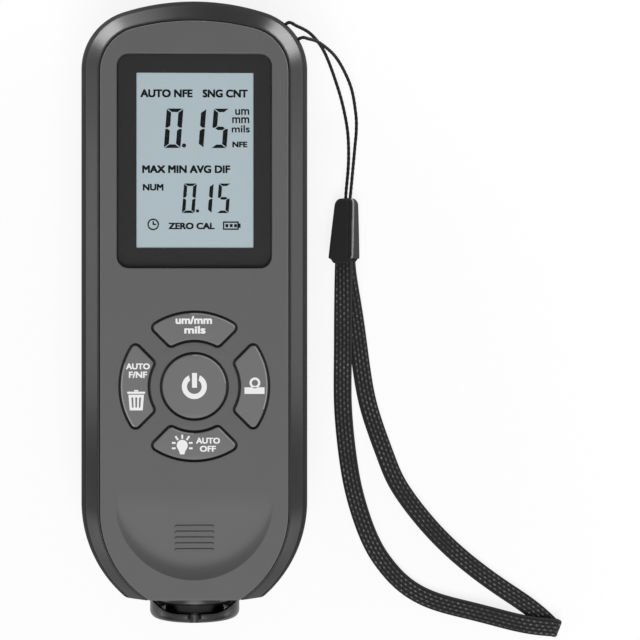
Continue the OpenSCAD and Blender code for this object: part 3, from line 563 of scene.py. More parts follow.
# Tube along a line: ring points are line + across * side + upward * up, with a UV map that counts strands
def tube(name, line, side, up, across, upward, uvAround, uvAlong):
    rows, cols = len(line), across.shape[-1]
    rings = line[:, None] + across[..., None] * side[:, None] + upward[..., None] * up[:, None]
    points = rings.reshape(-1, 3)
    faces = gridFaces(rows, cols, True)
    u = np.broadcast_to(uvAround, (rows, cols + 1))
    v = np.broadcast_to(uvAlong[:, None], (rows, cols + 1))
    i, j = np.meshgrid(np.arange(rows - 1), np.arange(cols), indexing="ij")
    corners = [(i, j), (i, j + 1), (i + 1, j + 1), (i + 1, j)]
    uv = np.stack([np.stack([u[c], v[c]], -1) for c in corners], 2).reshape(-1, 2)
    caps = [list(range(cols))[::-1], list(range((rows - 1) * cols, rows * cols))]
    mesh = bpy.data.meshes.new(name)
    mesh.from_pydata(points * mm, [], faces.tolist() + caps)
    layer = mesh.uv_layers.new(name="strands")
    layer.data.foreach_set("uv", np.concatenate([uv, np.zeros((2 * cols, 2))]).astype(np.float32).ravel())
    turnedOut(mesh)
    return mesh


strap = {
    "width": 4.3, "thick": 1.6, "edge": 0.62, "crease": 72, "roll": 25, "rollEnd": -1.8, "clipY": 12.3,
    "strandsAround": 6, "strandPitch": 1.4, "crown": 0.11, "edgeAt": 0.109, "plainFrom": 0.6,
    "plainOver": 0.35, "relax": 36, "relaxSide": 600, "step": 0.2, "columns": 60, "sectionStep": 0.05,
    "foldRows": 19,
    "front": [[34.47, 12.3, 4.4], [34.4, 7.8, 4.1], [34.4, -1.8, 2.6], [34.4, -8.8, 2.5], [34.4, -15.6, 1.5],
              [34.6, -24.1, 0.8], [36, -36.5, 0.8], [37.9, -44.9, 0.8], [40.9, -53.3, 0.8],
              [44.4, -58.9, 0.8], [49.1, -63.9, 0.8], [55.9, -67.6, 0.9], [66.2, -70, 1.8],
              [76.4, -72.7, 2.5]],
    "fold": [83.6, -73.5, 1.65],
    "back": [[78.4, -68.9, 0.8], [70.8, -63.9, 0.8], [62.6, -57.7, 0.8], [55, -50.4, 0.8],
             [47.5, -40.7, 0.8], [44.6, -33.7, 0.8], [41.1, -24.1, 0.8], [39.2, -15.8, 0.8],
             [37.4, -1.8, 0.8], [35.6, 7.8, 2.3], [35.19, 12.3, 2.8]],
}


# Directions across and out of one leg: flat on the table, rolled with the clip near it
def legFrame(leg, sign):
    t = unit(np.gradient(leg, axis=0))
    side = sign * unit(np.column_stack([-t[:, 1], t[:, 0], np.zeros(len(t))]))
    near = np.clip((leg[:, 1] - strap["rollEnd"]) / (strap["clipY"] - strap["rollEnd"]), 0, 1)
    k = np.radians(strap["roll"]) * near
    turn = np.where(side[:, 0] < 0, -1, 1)[:, None]
    c, s, z = np.cos(k)[:, None], np.sin(k)[:, None], np.array([[0, 0, 1.0]])
    return c * side + s * z * turn, sign * (c * z - s * turn * side)


# Both legs run into the fold, the front one over the back one
foldX, foldY, foldZ = strap["fold"]
foldTop, foldLow = [foldX, foldY, 2 * foldZ - strap["thick"] / 2], [foldX, foldY, strap["thick"] / 2]
frontLeg = relaxed(smoothRoute(strap["front"] + [foldTop], strap["thick"]), strap["relax"])
backLeg = relaxed(smoothRoute([foldLow] + strap["back"], strap["thick"]), strap["relax"])
crease = np.radians(strap["crease"])
creaseSide = np.array([np.cos(crease), np.sin(crease), 0])
creaseOut = np.array([creaseSide[1], -creaseSide[0], 0])
foldTurn = np.radians(np.linspace(0, 180, strap["foldRows"]))[:, None]
foldUp = np.sin(foldTurn) * creaseOut + np.cos(foldTurn) * np.array([0, 0, 1.0])
foldLine = np.array(strap["fold"]) + (foldZ - strap["thick"] / 2) * foldUp
frontSide, frontUp = legFrame(frontLeg, 1)
backSide, backUp = legFrame(backLeg, -1)
line = np.vstack([frontLeg, foldLine[1:-1], backLeg])
side = np.vstack([frontSide, np.broadcast_to(creaseSide, foldLine[1:-1].shape), backSide])
up = np.vstack([frontUp, foldUp[1:-1], backUp])
along, line, side, up = evenly(line, strap["step"], side, up)
side = unit(relaxed(side, strap["relaxSide"]))
up = unit(up - side * np.sum(up * side, -1, keepdims=True))

# Section of the strap: rounded rectangle, raised where strands cross but plain where it turns over its edges
w, t = strap["width"] / 2 - strap["crown"] / 2, strap["thick"] / 2 - strap["crown"] / 2
at, section = spread(roundRect(-w, w, -t, t, strap["edge"]), strap["columns"], strap["sectionStep"])
sectionOut = outwardOf(section)
uvAround = at * strap["strandsAround"]
uvAlong = along / strap["strandPitch"]
raised = np.abs(np.cos(2 * np.pi * uvAround[None, :-1]) + np.cos(2 * np.pi * uvAlong[:, None])) / 2
border = np.cos(4 * np.pi * (at[:-1] - strap["edgeAt"]))
raised = strap["crown"] * (raised - 0.5) * np.clip((strap["plainFrom"] - border) / strap["plainOver"], 0, 1)
strapMesh = tube("wrist_strap_braid", line, side, up, section[:, 0] + raised * sectionOut[:, 0],
                 section[:, 1] + raised * sectionOut[:, 1], uvAround, uvAlong)
strapPiece = newPiece("wrist_strap_braid", strapMesh, strapNylon, "case", ["wrist_strap"])
print("strap: %.1f mm, %d faces" % (along[-1], len(strapMesh.polygons)))

cord = {
    "thick": 0.8, "step": 0.2, "columns": 20, "twistPitch": 2.4, "ply": 2, "groove": 0.13, "strandPitch": 0.5,
    "route": [[35.04, 26.5, 2.6], [35.14, 28.2, 2.5], [35.8, 35, 1.2], [35.7, 41.8, 0.6], [34.6, 48, 0.7],
              [33, 53, 2.2], [30.6, 58.1, 6.5], [28.5, 60.8, 11], [25.7, 62.6, 16.4],
              [22.6, 63.4, 20.6], [20.6, 63.9, 21.5], [18.2, 61.7, 19.4], [18.2, 59.9, 18.6],
              [19.2, 58.7, 18.6], [20.5, 58.9, 19.4], [23.4, 60.5, 21.8], [25.2, 60.6, 20.4],
              [28.2, 60.4, 15.6], [32.5, 58.1, 8.5], [36.1, 52.7, 3], [37.5, 46.8, 0.8],
              [37.7, 42.9, 0.6], [37.3, 38.3, 0.9], [36.2, 28.2, 2.9], [36, 26.5, 3]],
}
along, line = evenly(smoothRoute(cord["route"], cord["thick"]), cord["step"])
heading = unit(np.gradient(line, axis=0))
side = unit(np.cross(heading, [0, 0, 1.0]))
up = np.cross(side, heading)
# Twisted section: radius falls by the groove between the plies, which turn once each pitch
theta = np.linspace(0, 2 * np.pi, cord["columns"] + 1)
twist = theta[None, :-1] * cord["ply"] / 2 - np.pi * cord["ply"] * along[:, None] / cord["twistPitch"]
radius = cord["thick"] / 2 * (1 - cord["groove"] * np.abs(np.sin(twist)))
cordPiece = newPiece("lanyard_cord_twist", tube(
    "lanyard_cord_twist", line, side, up, radius * np.cos(theta[:-1]), radius * np.sin(theta[:-1]),
    theta / np.pi, along / cord["strandPitch"]), cordNylon, "case", ["lanyard_cord"])
print("cord: %.1f mm" % along[-1])

clip = {
    "low": [34.53, 12.45, 3.75], "high": [35.27, 26.5, 2.7], "lowSize": (6.1, 5.2), "highSize": (4.7, 3.4),
    "taper": 1.15, "roll": 25, "edge": 0.55, "cornerIn": 0.41, "columns": 168, "sectionStep": 0.03,
    "rows": ((0, 0.05, 8), (0.05, 0.86, 30), (0.86, 1, 36)),  # from, to, count: closer near both ends
    "shoulder": 1.7, "shoulderIn": 0.62, "lip": 0.35, "lipIn": 0.6, "thinner": 0.9,
    "tongue": 1.1, "tongueHalf": 2.15, "tonguePower": 10, "tongueShare": 0.16,
    "ridge": 0.1, "groove": 0.13, "grooveAt": 1.25, "grooveZ": 0.05, "lineHalf": 0.14, "highlightHalf": 0.11,
    "fadeFrom": 0.9, "fadeOver": 0.6,
}
low, high = np.array(clip["low"]), np.array(clip["high"])
share = np.unique(np.concatenate([np.linspace(*rows) for rows in clip["rows"]]))
spine = low + (high - low) * share[:, None]
clipLength = np.linalg.norm(high - low)
halfW = (clip["lowSize"][0] + (clip["highSize"][0] - clip["lowSize"][0]) * share ** clip["taper"]) / 2
halfT = (clip["lowSize"][1] + (clip["highSize"][1] - clip["lowSize"][1]) * share) / 2
# Rounded shoulder: a quarter ellipse over the last stretch; lip: a small round at the strap's end
nearTop = np.clip(1 - (1 - share) * clipLength / clip["shoulder"], 0, 1)
nearLow = np.clip(1 - share * clipLength / clip["lip"], 0, 1)
shrink = clip["shoulder"] * clip["shoulderIn"] * (1 - np.sqrt(1 - nearTop ** 2))
shrink += clip["lip"] * clip["lipIn"] * (1 - np.sqrt(1 - nearLow ** 2))
halfW, halfT = halfW - shrink, halfT - shrink * clip["thinner"]
# Each section: a rounded rectangle with a fine ridge on its right front corner and a fine groove beside it
sections = []
cornerIn = clip["edge"] * clip["cornerIn"]
for w, t in zip(halfW, halfT):
    loop = spread(roundRect(-w, w, -t, t, clip["edge"]), clip["columns"], clip["sectionStep"])[1]
    fade = np.clip((t - clip["fadeFrom"]) / clip["fadeOver"], 0, 1)
    edgeAt = np.linalg.norm(loop - [w, t], axis=1) - cornerIn
    lineAt = np.where(loop[:, 1] > t - clip["grooveZ"], loop[:, 0] - (w - clip["grooveAt"]), np.inf)
    rise = clip["ridge"] * np.exp(-(edgeAt / clip["lineHalf"]) ** 2)
    rise -= clip["groove"] * np.exp(-(lineAt / clip["lineHalf"]) ** 2)
    sections.append(loop + outwardOf(loop) * (rise * fade)[:, None])
sections = np.array(sections)
roll = np.radians(clip["roll"])
side, up = np.array([np.cos(roll), 0, np.sin(roll)]), np.array([-np.sin(roll), 0, np.cos(roll)])
rings = spine[:, None] + sections[..., :1] * side + sections[..., 1:] * up
# Tongue: the front and back run down over the strap in the middle of the width
tongue = clip["tongue"] * np.exp(-(sections[..., 0] / clip["tongueHalf"]) ** clip["tonguePower"])
rings[..., 1] -= tongue * np.clip(1 - share / clip["tongueShare"], 0, 1)[:, None]
clipPiece = newPiece("strap_clip_moulding", joinedMesh("strap_clip_moulding", [loft(rings)], 40),
                     clipNylon, "case", ["strap_clip"])
# Painted highlight: the faces along the corner between the front and the right side take the paler nylon
middle = facesOf(clipPiece.data)[0]
part = np.clip((middle[:, 1] - low[1]) / (high[1] - low[1]), 0, 1)
away = middle - (low + (high - low) * part[:, None])
corner = np.column_stack([np.interp(part, share, halfW), np.interp(part, share, halfT)])
away = np.linalg.norm(np.column_stack([away @ side, away @ up]) - corner, axis=1) - cornerIn
refinish(clipPiece.data, np.abs(away) < clip["highlightHalf"], clipHighlightNylon)

print("cord, clip and strap made")

# Outline forms: half width, top, top arc, corner arc, lower arc and the height of its centre
housing = {
    "bodyForm": (25.0, 68.75, 51.3, 13.3, 27.7, -41.9),
    "panelForm": (20.7, 63.65, 52.4, 10.0, 23.25, -43.25),
    "bevelW": 4.3, "endY": -62.75, "wall": 2.0, "parting": 13.0, "backR": 4.0, "groove": 0.22,
    "panelZ": 25.0, "faceZ": 27.0, "ledge": 0.9, "ledgeZ": 23.6, "bandZ": 21.0,
    "lowPoints": 44, "cornerPoints": 40, "topPoints": 36,
    "probeZ": 12.0, "probeHole": 16.8,
    "lanyardAngles": (51, 31), "lanyardTilt": 35, "lanyardD": 1.8, "lanyardIn": 0.6, "lanyardReach": 4,
    "screws": ((20.0, -38.5), (8.7, 62.2)), "screwPost": 7.2, "screwHead": 4.8, "screwSeat": 8.0,
    "screwHole": 2.8,
    # bevel: inset from the wall and height, from the joint up to the rim; the wall is matt below one height
    "profile": ((0.22, 13.0), (0.0, 13.22), (0.0, 16.5), (0.0, 20.1), (0.05, 20.65), (0.15, 21.2),
                (0.3, 21.75), (0.5, 22.25), (0.74, 22.7), (0.98, 23.06), (1.2, 23.34), (1.4, 23.57),
                (1.62, 23.82), (2.1, 24.34), (2.6, 24.88), (3.1, 25.42), (3.5, 25.85), (3.76, 26.12),
                (3.92, 26.28), (4.06, 26.37), (4.18, 26.4)),
    "matt": 23.4, "hollowZ": 20.1,
}
past, above = 1.0, 30.0  # how far a cutter runs beyond a surface, and a height over everything


# Outline at an inset from the outer wall: lower arc, side, corner arc, top arc, each of its sizes mixed
# between the body's form at inset 0 and the panel's form at the bevel's width, and cut by the end plane
def outline(inset, endIn=0.0):
    body, panel = np.array(housing["bodyForm"]), np.array(housing["panelForm"])
    halfW, top, topR, cornerR, lowR, lowY = body + (panel - body) * inset / housing["bevelW"]
    x = halfW - cornerR
    y = top - topR + math.sqrt((topR - cornerR) ** 2 - x ** 2)
    turn = math.degrees(math.atan2(y - top + topR, x))
    start = math.degrees(math.asin((housing["endY"] + endIn - lowY) / lowR))
    right = np.vstack([arc(halfW - lowR, lowY, lowR, start, 0, housing["lowPoints"]),
                       arc(x, y, cornerR, 0, turn, housing["cornerPoints"]),
                       arc(0, top - topR, topR, turn, 90, housing["topPoints"])[1:]])
    return np.vstack([right, right[-2::-1] * [-1, 1]])


def ringAt(inset, z, endIn=0.0):
    return level(outline(inset, endIn), z)


# Round rod along the probe's axis
def rodY(r, y0, y1, count=96):
    c = circle(0, housing["probeZ"], r, count)
    return loft([np.column_stack([c[:, 0], np.full(count, y), c[:, 1]]) for y in (y0, y1)])


# Rod through the wall of the upper right corner, tilted up and out
def lanyardRod(angle):
    body = housing["bodyForm"]
    x = body[0] - body[3]
    y = body[1] - body[2] + math.sqrt((body[2] - body[3]) ** 2 - x ** 2)
    a, tilt = math.radians(angle), math.radians(housing["lanyardTilt"])
    out = np.array([math.cos(a), math.sin(a), 0])
    axis = out * math.cos(tilt) + np.array([0, 0, math.sin(tilt)])
    across = np.array([-math.sin(a), math.cos(a), 0])
    other = np.cross(axis, across)
    middle = np.array([x, y, housing["bandZ"]]) + (body[3] - housing["lanyardIn"]) * out
    c = circle(0, 0, housing["lanyardD"] / 2, 40)
    ringOf = c[:, :1] * across + c[:, 1:] * other
    reach = housing["lanyardReach"] * axis
    return loft([middle - reach + ringOf, middle + reach + ringOf])


wall, endY, parting, groove = (housing[k] for k in ("wall", "endY", "parting", "groove"))
ledgeZ, seatInset = housing["ledgeZ"], housing["bevelW"] + housing["ledge"]
probeHole = ("DIFFERENCE", rodY(housing["probeHole"] / 2, endY - past, endY + wall + past))
frameMesh = carve("front_bezel", [loft([ringAt(i, z) for i, z in housing["profile"]])], [
    ("DIFFERENCE", loft([ringAt(wall, parting - past, wall), ringAt(wall, housing["hollowZ"], wall),
                         ringAt(seatInset, ledgeZ, wall)])),
    ("DIFFERENCE", prism(outline(housing["bevelW"], -past), housing["panelZ"], above)),
    ("DIFFERENCE", prism(outline(seatInset, wall), ledgeZ - past, above)),
    probeHole,
    *[("DIFFERENCE", lanyardRod(a)) for a in housing["lanyardAngles"]],
])
newPiece("front_bezel", frameMesh, bevelAbs, "case", ["front_frame"], True)
refinish(frameMesh, facesOf(frameMesh)[0][:, 2] < housing["matt"], wallAbs)
print("bezel:", len(frameMesh.polygons), "faces")

# Back: bay for two cells with a shelf for the door; lengths along Y as in the CAD
bay = {
    "halfW": 11.1, "y0": -29.75, "y1": 21.25, "z0": 1.5, "wall": 1.4, "top": 13.1,
    "doorHalf": 13.3, "doorY0": -31.95, "hingeY": 26.65, "gap": 0.3,
    "shelfZ": 1.2, "shelfT": 1.2, "shelfW": 1.5,
    "tabX": 7.5, "tabHalf": 2.0, "tabRoom": 4.0, "tongueHalf": 4.0, "tongueRoom": 1.8, "tongueZ": 5.0,
    "notchR": 1.2, "notchHalf": 5.0, "postZ": 1.0, "postClear": 0.02, "saddleR": 9.5, "saddleEnd": 0.5,
}


# Lower half of the housing: rings up a quarter round of radius r at an inset, which lies t above the table
def tub(r, t):
    insets = t + r * (1 - np.sin(backTurn))
    return [ringAt(i, z, i) for i, z in zip(insets, t + r * (1 - np.cos(backTurn)))]


backR, gap, hingeY = housing["backR"], bay["gap"], bay["hingeY"]
backTurn = np.radians(np.linspace(0, 90, 12))
outer = tub(backR, 0) + [ringAt(0, parting - groove), ringAt(groove, parting)]
hollow = tub(backR - wall, wall) + [ringAt(wall, parting + past, wall)]
latchY, shelf, hair = bay["doorY0"] - gap, bay["shelfW"], 0.01
doorRoom, tongueX, tabX = bay["doorHalf"] + gap, bay["tongueHalf"] + gap, bay["tabHalf"] + gap
bayX, bayWall = bay["halfW"], bay["wall"]
places = [(side * x, y) for x, y in housing["screws"] for side in (-1, 1)]
steps = [("DIFFERENCE", loft(hollow)),
         ("UNION", box(-bayX - bayWall, bayX + bayWall, bay["y0"] - bayWall, bay["y1"] + bayWall, bay["z0"],
                       bay["top"] + bayWall)),
         ("UNION", box(-doorRoom - shelf, doorRoom + shelf, latchY - shelf, hingeY + shelf, bay["shelfZ"],
                       wall + bay["shelfT"]))]
postTop = parting - bay["postClear"]
steps += [("UNION", prism(circle(x, y, housing["screwPost"] / 2, 48), bay["postZ"], postTop))
          for x, y in places]
steps += [("DIFFERENCE", box(-bayX, bayX, bay["y0"], bay["y1"], -past, bay["top"])),
          ("DIFFERENCE", box(-doorRoom, doorRoom, latchY, hingeY, -past, wall)),
          ("DIFFERENCE", box(-tongueX, tongueX, latchY + hair, latchY + bay["tongueRoom"], past,
                             bay["tongueZ"]))]
steps += [("DIFFERENCE", box(x - tabX, x + tabX, hingeY - bay["tabRoom"], hingeY + shelf + past, wall - hair,
                             wall + bay["shelfT"] + past)) for x in (-bay["tabX"], bay["tabX"])]
for x, y in places:
    steps += [("DIFFERENCE", prism(circle(x, y, housing["screwHead"] / 2, 48), -past, housing["screwSeat"])),
              ("DIFFERENCE", prism(circle(x, y, housing["screwHole"] / 2, 32), past, parting + past))]
saddleEnd = bay["y0"] - bayWall - bay["saddleEnd"]
steps += [probeHole, ("DIFFERENCE", rodY(bay["saddleR"], endY + wall, saddleEnd))]
c = circle(latchY, 0, bay["notchR"], 40)  # finger notch at the door's latch end
notch = loft([np.column_stack([np.full(len(c), x), c]) for x in (-bay["notchHalf"], bay["notchHalf"])])
steps.append(("DIFFERENCE", notch))
backMesh = carve("back_cover", [loft(outer)], steps)
newPiece("back_cover", backMesh, doorAbs, "case", ["rear_cover"], True)
print("back cover:", len(backMesh.polygons), "faces")

door = {
    "z0": 0.2, "z1": 1.8, "half": 13.3, "y0": -31.95, "y1": 26.35, "cornerR": 0.8, "edge": 0.22, "root": 0.3,
    "grips": 6, "gripPitch": 1.7, "gripHalf": 6.0, "gripT": 0.85, "gripRound": 0.48, "gripY": -28.6,
    "gripDeep": 0.35,
    "tabHigh": 2.15, "tabTop": 3.15, "tabRoot": 2.0, "tabOver": 0.5, "tabReach": 2.6,
    "tongueT": 0.7, "tongueTop": 4.0,
}
plan = roundRect(-door["half"], door["half"], door["y0"], door["y1"], door["cornerR"])
e, rootZ = door["edge"], door["z1"] - door["root"]
lower = [level(plan - outwardOf(plan) * e * (1 - math.sin(a)), door["z0"] + e * (1 - math.cos(a)))
         for a in np.radians(np.linspace(0, 90, 5))]
steps = []
x, gripT = door["gripHalf"], door["gripT"]
for y in door["gripY"] + door["gripPitch"] * np.arange(door["grips"]):
    grip = roundRect(-x, x, y, y + gripT, gripT * door["gripRound"])
    steps.append(("DIFFERENCE", prism(grip, -past, door["z0"] + door["gripDeep"])))
h, tabY = bay["tabHalf"], hingeY - door["tabRoot"]
for x in (-bay["tabX"], bay["tabX"]):
    steps += [("UNION", box(x - h, x + h, tabY, hingeY - gap, rootZ, door["tabHigh"] + door["tabOver"])),
              ("UNION", box(x - h + hair, x + h - hair, tabY + hair, hingeY + door["tabReach"],
                            door["tabHigh"], door["tabTop"]))]
tongueY = door["y0"] + gap / 2
steps.append(("UNION", box(-bay["tongueHalf"], bay["tongueHalf"], tongueY, tongueY + door["tongueT"], rootZ,
                           door["tongueTop"])))
doorMesh = carve("battery_cover", [loft(lower + [level(plan, door["z1"])])], steps)
newPiece("battery_cover", doorMesh, doorAbs, "door", ["battery_door"], True)
print("battery cover:", len(doorMesh.polygons), "faces")

panel = {
    "gap": 0.25, "edge": 0.22, "windowBox": (-16.85, 16.85, 9.55, 56.25), "windowR": 2.6,
    "keysY": -16.15, "powerR": 7.45, "arcIn": 9.6, "arcOut": 16.45, "bar": 2.0, "corner": 1.4,
    "keyGap": 0.5, "keyTop": 27.5, "keyEdge": 0.3, "keyLow": 24.0, "flange": 0.8, "flangeT": 0.9,
    # painted shade and painted highlight on the key edges: where they start down the edge, and the cosine of
    # half the highlight's span
    "keyShadeFrom": 0.75, "highlightFrom": 0.01, "highlightSpan": 0.72,
    "highlightSide": {"power": 50, "units": 50, "mode": 205, "zero": 25, "light": 45},  # degrees from +X
    "arcPoints": (48, 10, 36), "powerPoints": 128, "gapShadeReach": 0.6, "gapShadeFrom": 0.6,
    "scoopY": -41.15, "scoopR": 17.2, "blend": 2.6, "slope": 0.17, "rise": 0.88, "riseLength": 8.2,
    "soften": 1.0, "padT": 1.0, "scoopRows": 70, "scoopCols": 97,
    "ribs": 5, "ribY": -46.75, "ribPitch": 1.3, "ribHalf": 4.4, "ribT": 0.7, "ribRise": 0.34, "ribSunk": 0.12,
    "ribUnder": 0.05, "ribEnd": 0.35, "ribRows": 11, "ribCols": 41,
}
crisp = 28  # edges sharper than this many degrees stay sharp on small mouldings


# One arc key about the key centre: between two radii, half a bar away from both diagonals, corners rounded
# by f. Each corner's round is centred where lines and arcs moved inwards by f meet
def arcLoop(angle, grow):
    h, rIn, rOut = panel["bar"] - grow, panel["arcIn"] - grow, panel["arcOut"] + grow
    f = panel["corner"] + grow
    outV = math.sqrt((rOut - f) ** 2 - (h + f) ** 2)
    inV = math.sqrt((rIn + f) ** 2 - (h + f) ** 2)
    outA = math.degrees(math.atan2(outV, h + f))
    inA = math.degrees(math.atan2(inV, h + f))
    outN, roundN, inN = panel["arcPoints"]
    loop = np.vstack([
        arc(0, 0, rOut, 90 - outA, outA, outN), arc(h + f, outV, f, outA, 180, roundN)[1:],
        arc(h + f, inV, f, 180, 180 + inA, roundN), arc(0, 0, rIn, inA, 90 - inA, inN)[1:],
        arc(inV, h + f, f, 270 - inA, 270, roundN)[1:], arc(outV, h + f, f, 270, 450 - outA, roundN)[:-1]])
    t = math.radians(angle - 45)
    turned = np.array([[math.cos(t), math.sin(t)], [-math.sin(t), math.cos(t)]])
    return loop @ turned + [0, panel["keysY"]]


keyNames = {"power": None, "zero": 0, "units": 90, "mode": 180, "light": 270}


def keyLoop(name, grow):
    if name == "power":
        return circle(0, panel["keysY"], panel["powerR"] + grow, panel["powerPoints"])
    return arcLoop(keyNames[name], grow)


# Depth of the thumb scoop: a soft ramp from its upper line meets a rise towards its round edge, and the
# smaller of the two counts, with the seam between them softened
def scoopDepth(x, y):
    s = np.maximum(panel["scoopY"] + panel["blend"] - y, 0)
    b = panel["blend"]
    ramp = panel["slope"] * np.where(s < 2 * b, s ** 2 / (4 * b), s - b)
    d = np.clip(panel["scoopR"] - np.hypot(x, np.minimum(y - panel["scoopY"], 0)), 0, panel["riseLength"])
    climb = panel["rise"] * (d - d ** 3 / (3 * panel["riseLength"] ** 2))
    seam = panel["soften"] ** 2 * ramp * climb / (ramp + climb + 1e-9)
    return np.maximum((ramp + climb - np.sqrt((ramp - climb) ** 2 + seam)) / 2, 0)


# Points around the edge of a grid
def edgeOf(grid):
    return np.concatenate([grid[0], grid[1:, -1], grid[-1, -2::-1], grid[-2:0:-1, 0]])


faceZ, panelZ, r = housing["faceZ"], housing["panelZ"], panel["edge"]
u = np.sin(np.linspace(-np.pi / 2, np.pi / 2, panel["scoopCols"]))
v = np.linspace(0, 1, panel["scoopRows"])
scoopX = np.broadcast_to(panel["scoopR"] * u, (len(v), len(u)))
scoopTop = panel["scoopY"] + panel["blend"]
scoopLow = panel["scoopY"] - panel["scoopR"] * np.sqrt(np.maximum(1 - u ** 2, 0))
scoopYs = scoopTop + (scoopLow - scoopTop)[None, :] * v[:, None]
scoopZ = faceZ - scoopDepth(scoopX, scoopYs)
scoopZ[0], scoopZ[-1], scoopZ[:, 0], scoopZ[:, -1] = faceZ, faceZ, faceZ, faceZ
scoopGrid = np.stack([scoopX, scoopYs, scoopZ], -1)
scoopRim = edgeOf(scoopGrid.swapaxes(0, 1))[:, :2]

panelOutline = outline(housing["bevelW"] + panel["gap"])
openings = [roundRect(*panel["windowBox"], panel["windowR"], 16)] + [keyLoop(n, 0) for n in keyNames]
topLoops = [panelOutline - outwardOf(panelOutline) * r, scoopRim] + [o + outwardOf(o) * r for o in openings]
padZ = np.minimum(scoopZ - panel["padT"], panelZ)
padZ[0], padZ[-1], padZ[:, 0], padZ[:, -1] = panelZ, panelZ, panelZ, panelZ
scoopPad = np.stack([scoopX, scoopYs, padZ], -1)
parts = [filled(topLoops, faceZ), (scoopGrid.reshape(-1, 3), gridFaces(*scoopX.shape)),
         filled([panelOutline, scoopRim] + openings, panelZ),
         (scoopPad.reshape(-1, 3), gridFaces(*scoopX.shape)[:, ::-1]),
         band(panelOutline, roundEdge(r, faceZ) + [(0, panelZ)])]
parts += [band(o, roundEdge(r, faceZ, -1) + [(0, panelZ)]) for o in openings]
panelMesh = joinedMesh("face_plate", parts, crisp)
newPiece("face_plate", panelMesh, panelPaint, "case", ["face_panel"], True)
# Painted shade in the gaps round the keys: the walls of the key openings take the black ABS finish
middle = facesOf(panelMesh)[0]
nearKeys = np.hypot(middle[:, 0], middle[:, 1] - panel["keysY"]) < panel["arcOut"] + panel["gapShadeReach"]
refinish(panelMesh, nearKeys & (middle[:, 2] < faceZ - r * panel["gapShadeFrom"]), blackAbs)
print("face plate:", len(panelMesh.polygons), "faces")

# Grip ribs in the scoop: low bars with rounded ends and crowned tops that follow its floor
ribParts = []
t, s = np.linspace(-1, 1, panel["ribRows"]), np.linspace(-1, 1, panel["ribCols"])
ribR, sunk = panel["ribT"] / 2, panel["ribSunk"]
x = s[None, :] * (panel["ribHalf"] - ribR * (1 - np.sqrt(1 - t ** 2)))[:, None]
end = np.clip((1 - np.abs(s)) * panel["ribHalf"] / panel["ribEnd"], 0, 1)
crown = np.sqrt(np.clip(1 - t ** 4, 0, 1))[:, None] * np.sqrt(1 - (1 - end) ** 2)[None, :]
for y in panel["ribY"] - panel["ribPitch"] * np.arange(panel["ribs"]):
    ys = y + ribR * np.broadcast_to(t[:, None], x.shape)
    z = faceZ - scoopDepth(x, ys) - sunk + (panel["ribRise"] + sunk) * crown
    under = np.stack([x, ys, np.broadcast_to(z.min() - panel["ribUnder"], x.shape)], -1)
    grid = np.stack([x, ys, z], -1)
    rim = np.stack([edgeOf(under), edgeOf(grid)])
    ribParts += [(grid, gridFaces(*x.shape)), (under, gridFaces(*x.shape)[:, ::-1]),
                 (rim, gridFaces(*rim.shape[:2], True))]
newPiece("scoop_ribs", joinedMesh("scoop_ribs", ribParts, 50), panelPaint, "case")

# Keys: flange under the panel, wall, rounded edge and a flat top
e, top, keyLow = panel["keyEdge"], panel["keyTop"], panel["keyLow"]
shoulder = keyLow + panel["flangeT"]
for name in keyNames:
    cap, foot = keyLoop(name, -panel["keyGap"]), keyLoop(name, panel["flange"] - panel["keyGap"] / 2)
    keyMesh = joinedMesh(name + "_button_cap", [
        band(cap, [(0, shoulder)] + roundEdge(e, top)[::-1]), filled([cap - outwardOf(cap) * e], top),
        band(foot, [(0, keyLow), (0, shoulder)]), filled([foot, cap], shoulder), filled([foot], keyLow)],
        crisp)
    newPiece(name + "_button_cap", keyMesh, keyAbs, name + "_button", [name + "_key"], True)
    # painted shade on the cap's wall below its edge, and a painted highlight on one side of the edge
    middle, facing = facesOf(keyMesh)
    drop, litAngle = (top - middle[:, 2]) / e, np.radians(panel["highlightSide"][name])
    facing = facing[:, :2]
    litEdge = facing @ [np.cos(litAngle), np.sin(litAngle)] > panel["highlightSpan"] * np.hypot(*facing.T)
    refinish(keyMesh, np.select([drop > panel["keyShadeFrom"], (drop > panel["highlightFrom"]) & litEdge], [1, 2], 0),
             blackAbs, keyHighlightAbs)
print("keys made")

window = {
    "z0": 25.5, "z1": 26.8, "fit": 0.1, "edge": 0.25, "inkT": 0.08, "inkGap": 0.02,
    "clear": (-12.62, 12.88, 13.98, 52.18), "clearR": 0.15,
}


# Plate with a rounded upper edge between two heights
def plate(name, loop, low, top, edge):
    return joinedMesh(name, [filled([loop - outwardOf(loop) * edge], top), filled([loop], low),
                             band(loop, roundEdge(edge, top) + [(0, low)])], crisp)


x0, x1, y0, y1 = panel["windowBox"]
f, inkLow = window["fit"], window["z0"]
inkTop = inkLow + window["inkT"]
rim = roundRect(x0 + f, x1 - f, y0 + f, y1 - f, panel["windowR"] - f, 16)
opening = roundRect(*window["clear"], window["clearR"], 4)
border = joinedMesh("window_border", [
    filled([rim, opening], inkTop), filled([rim, opening], inkLow),
    *[band(loop, [(0, inkLow), (0, inkTop)]) for loop in (rim, opening)]], crisp)
newPiece("window_border", border, borderInk, "case")
pane = plate("window_pane", rim, inkTop + window["inkGap"], window["z1"], window["edge"])
newPiece("window_pane", pane, windowAcrylic, "case", ["display_window"], True)
print("window made")

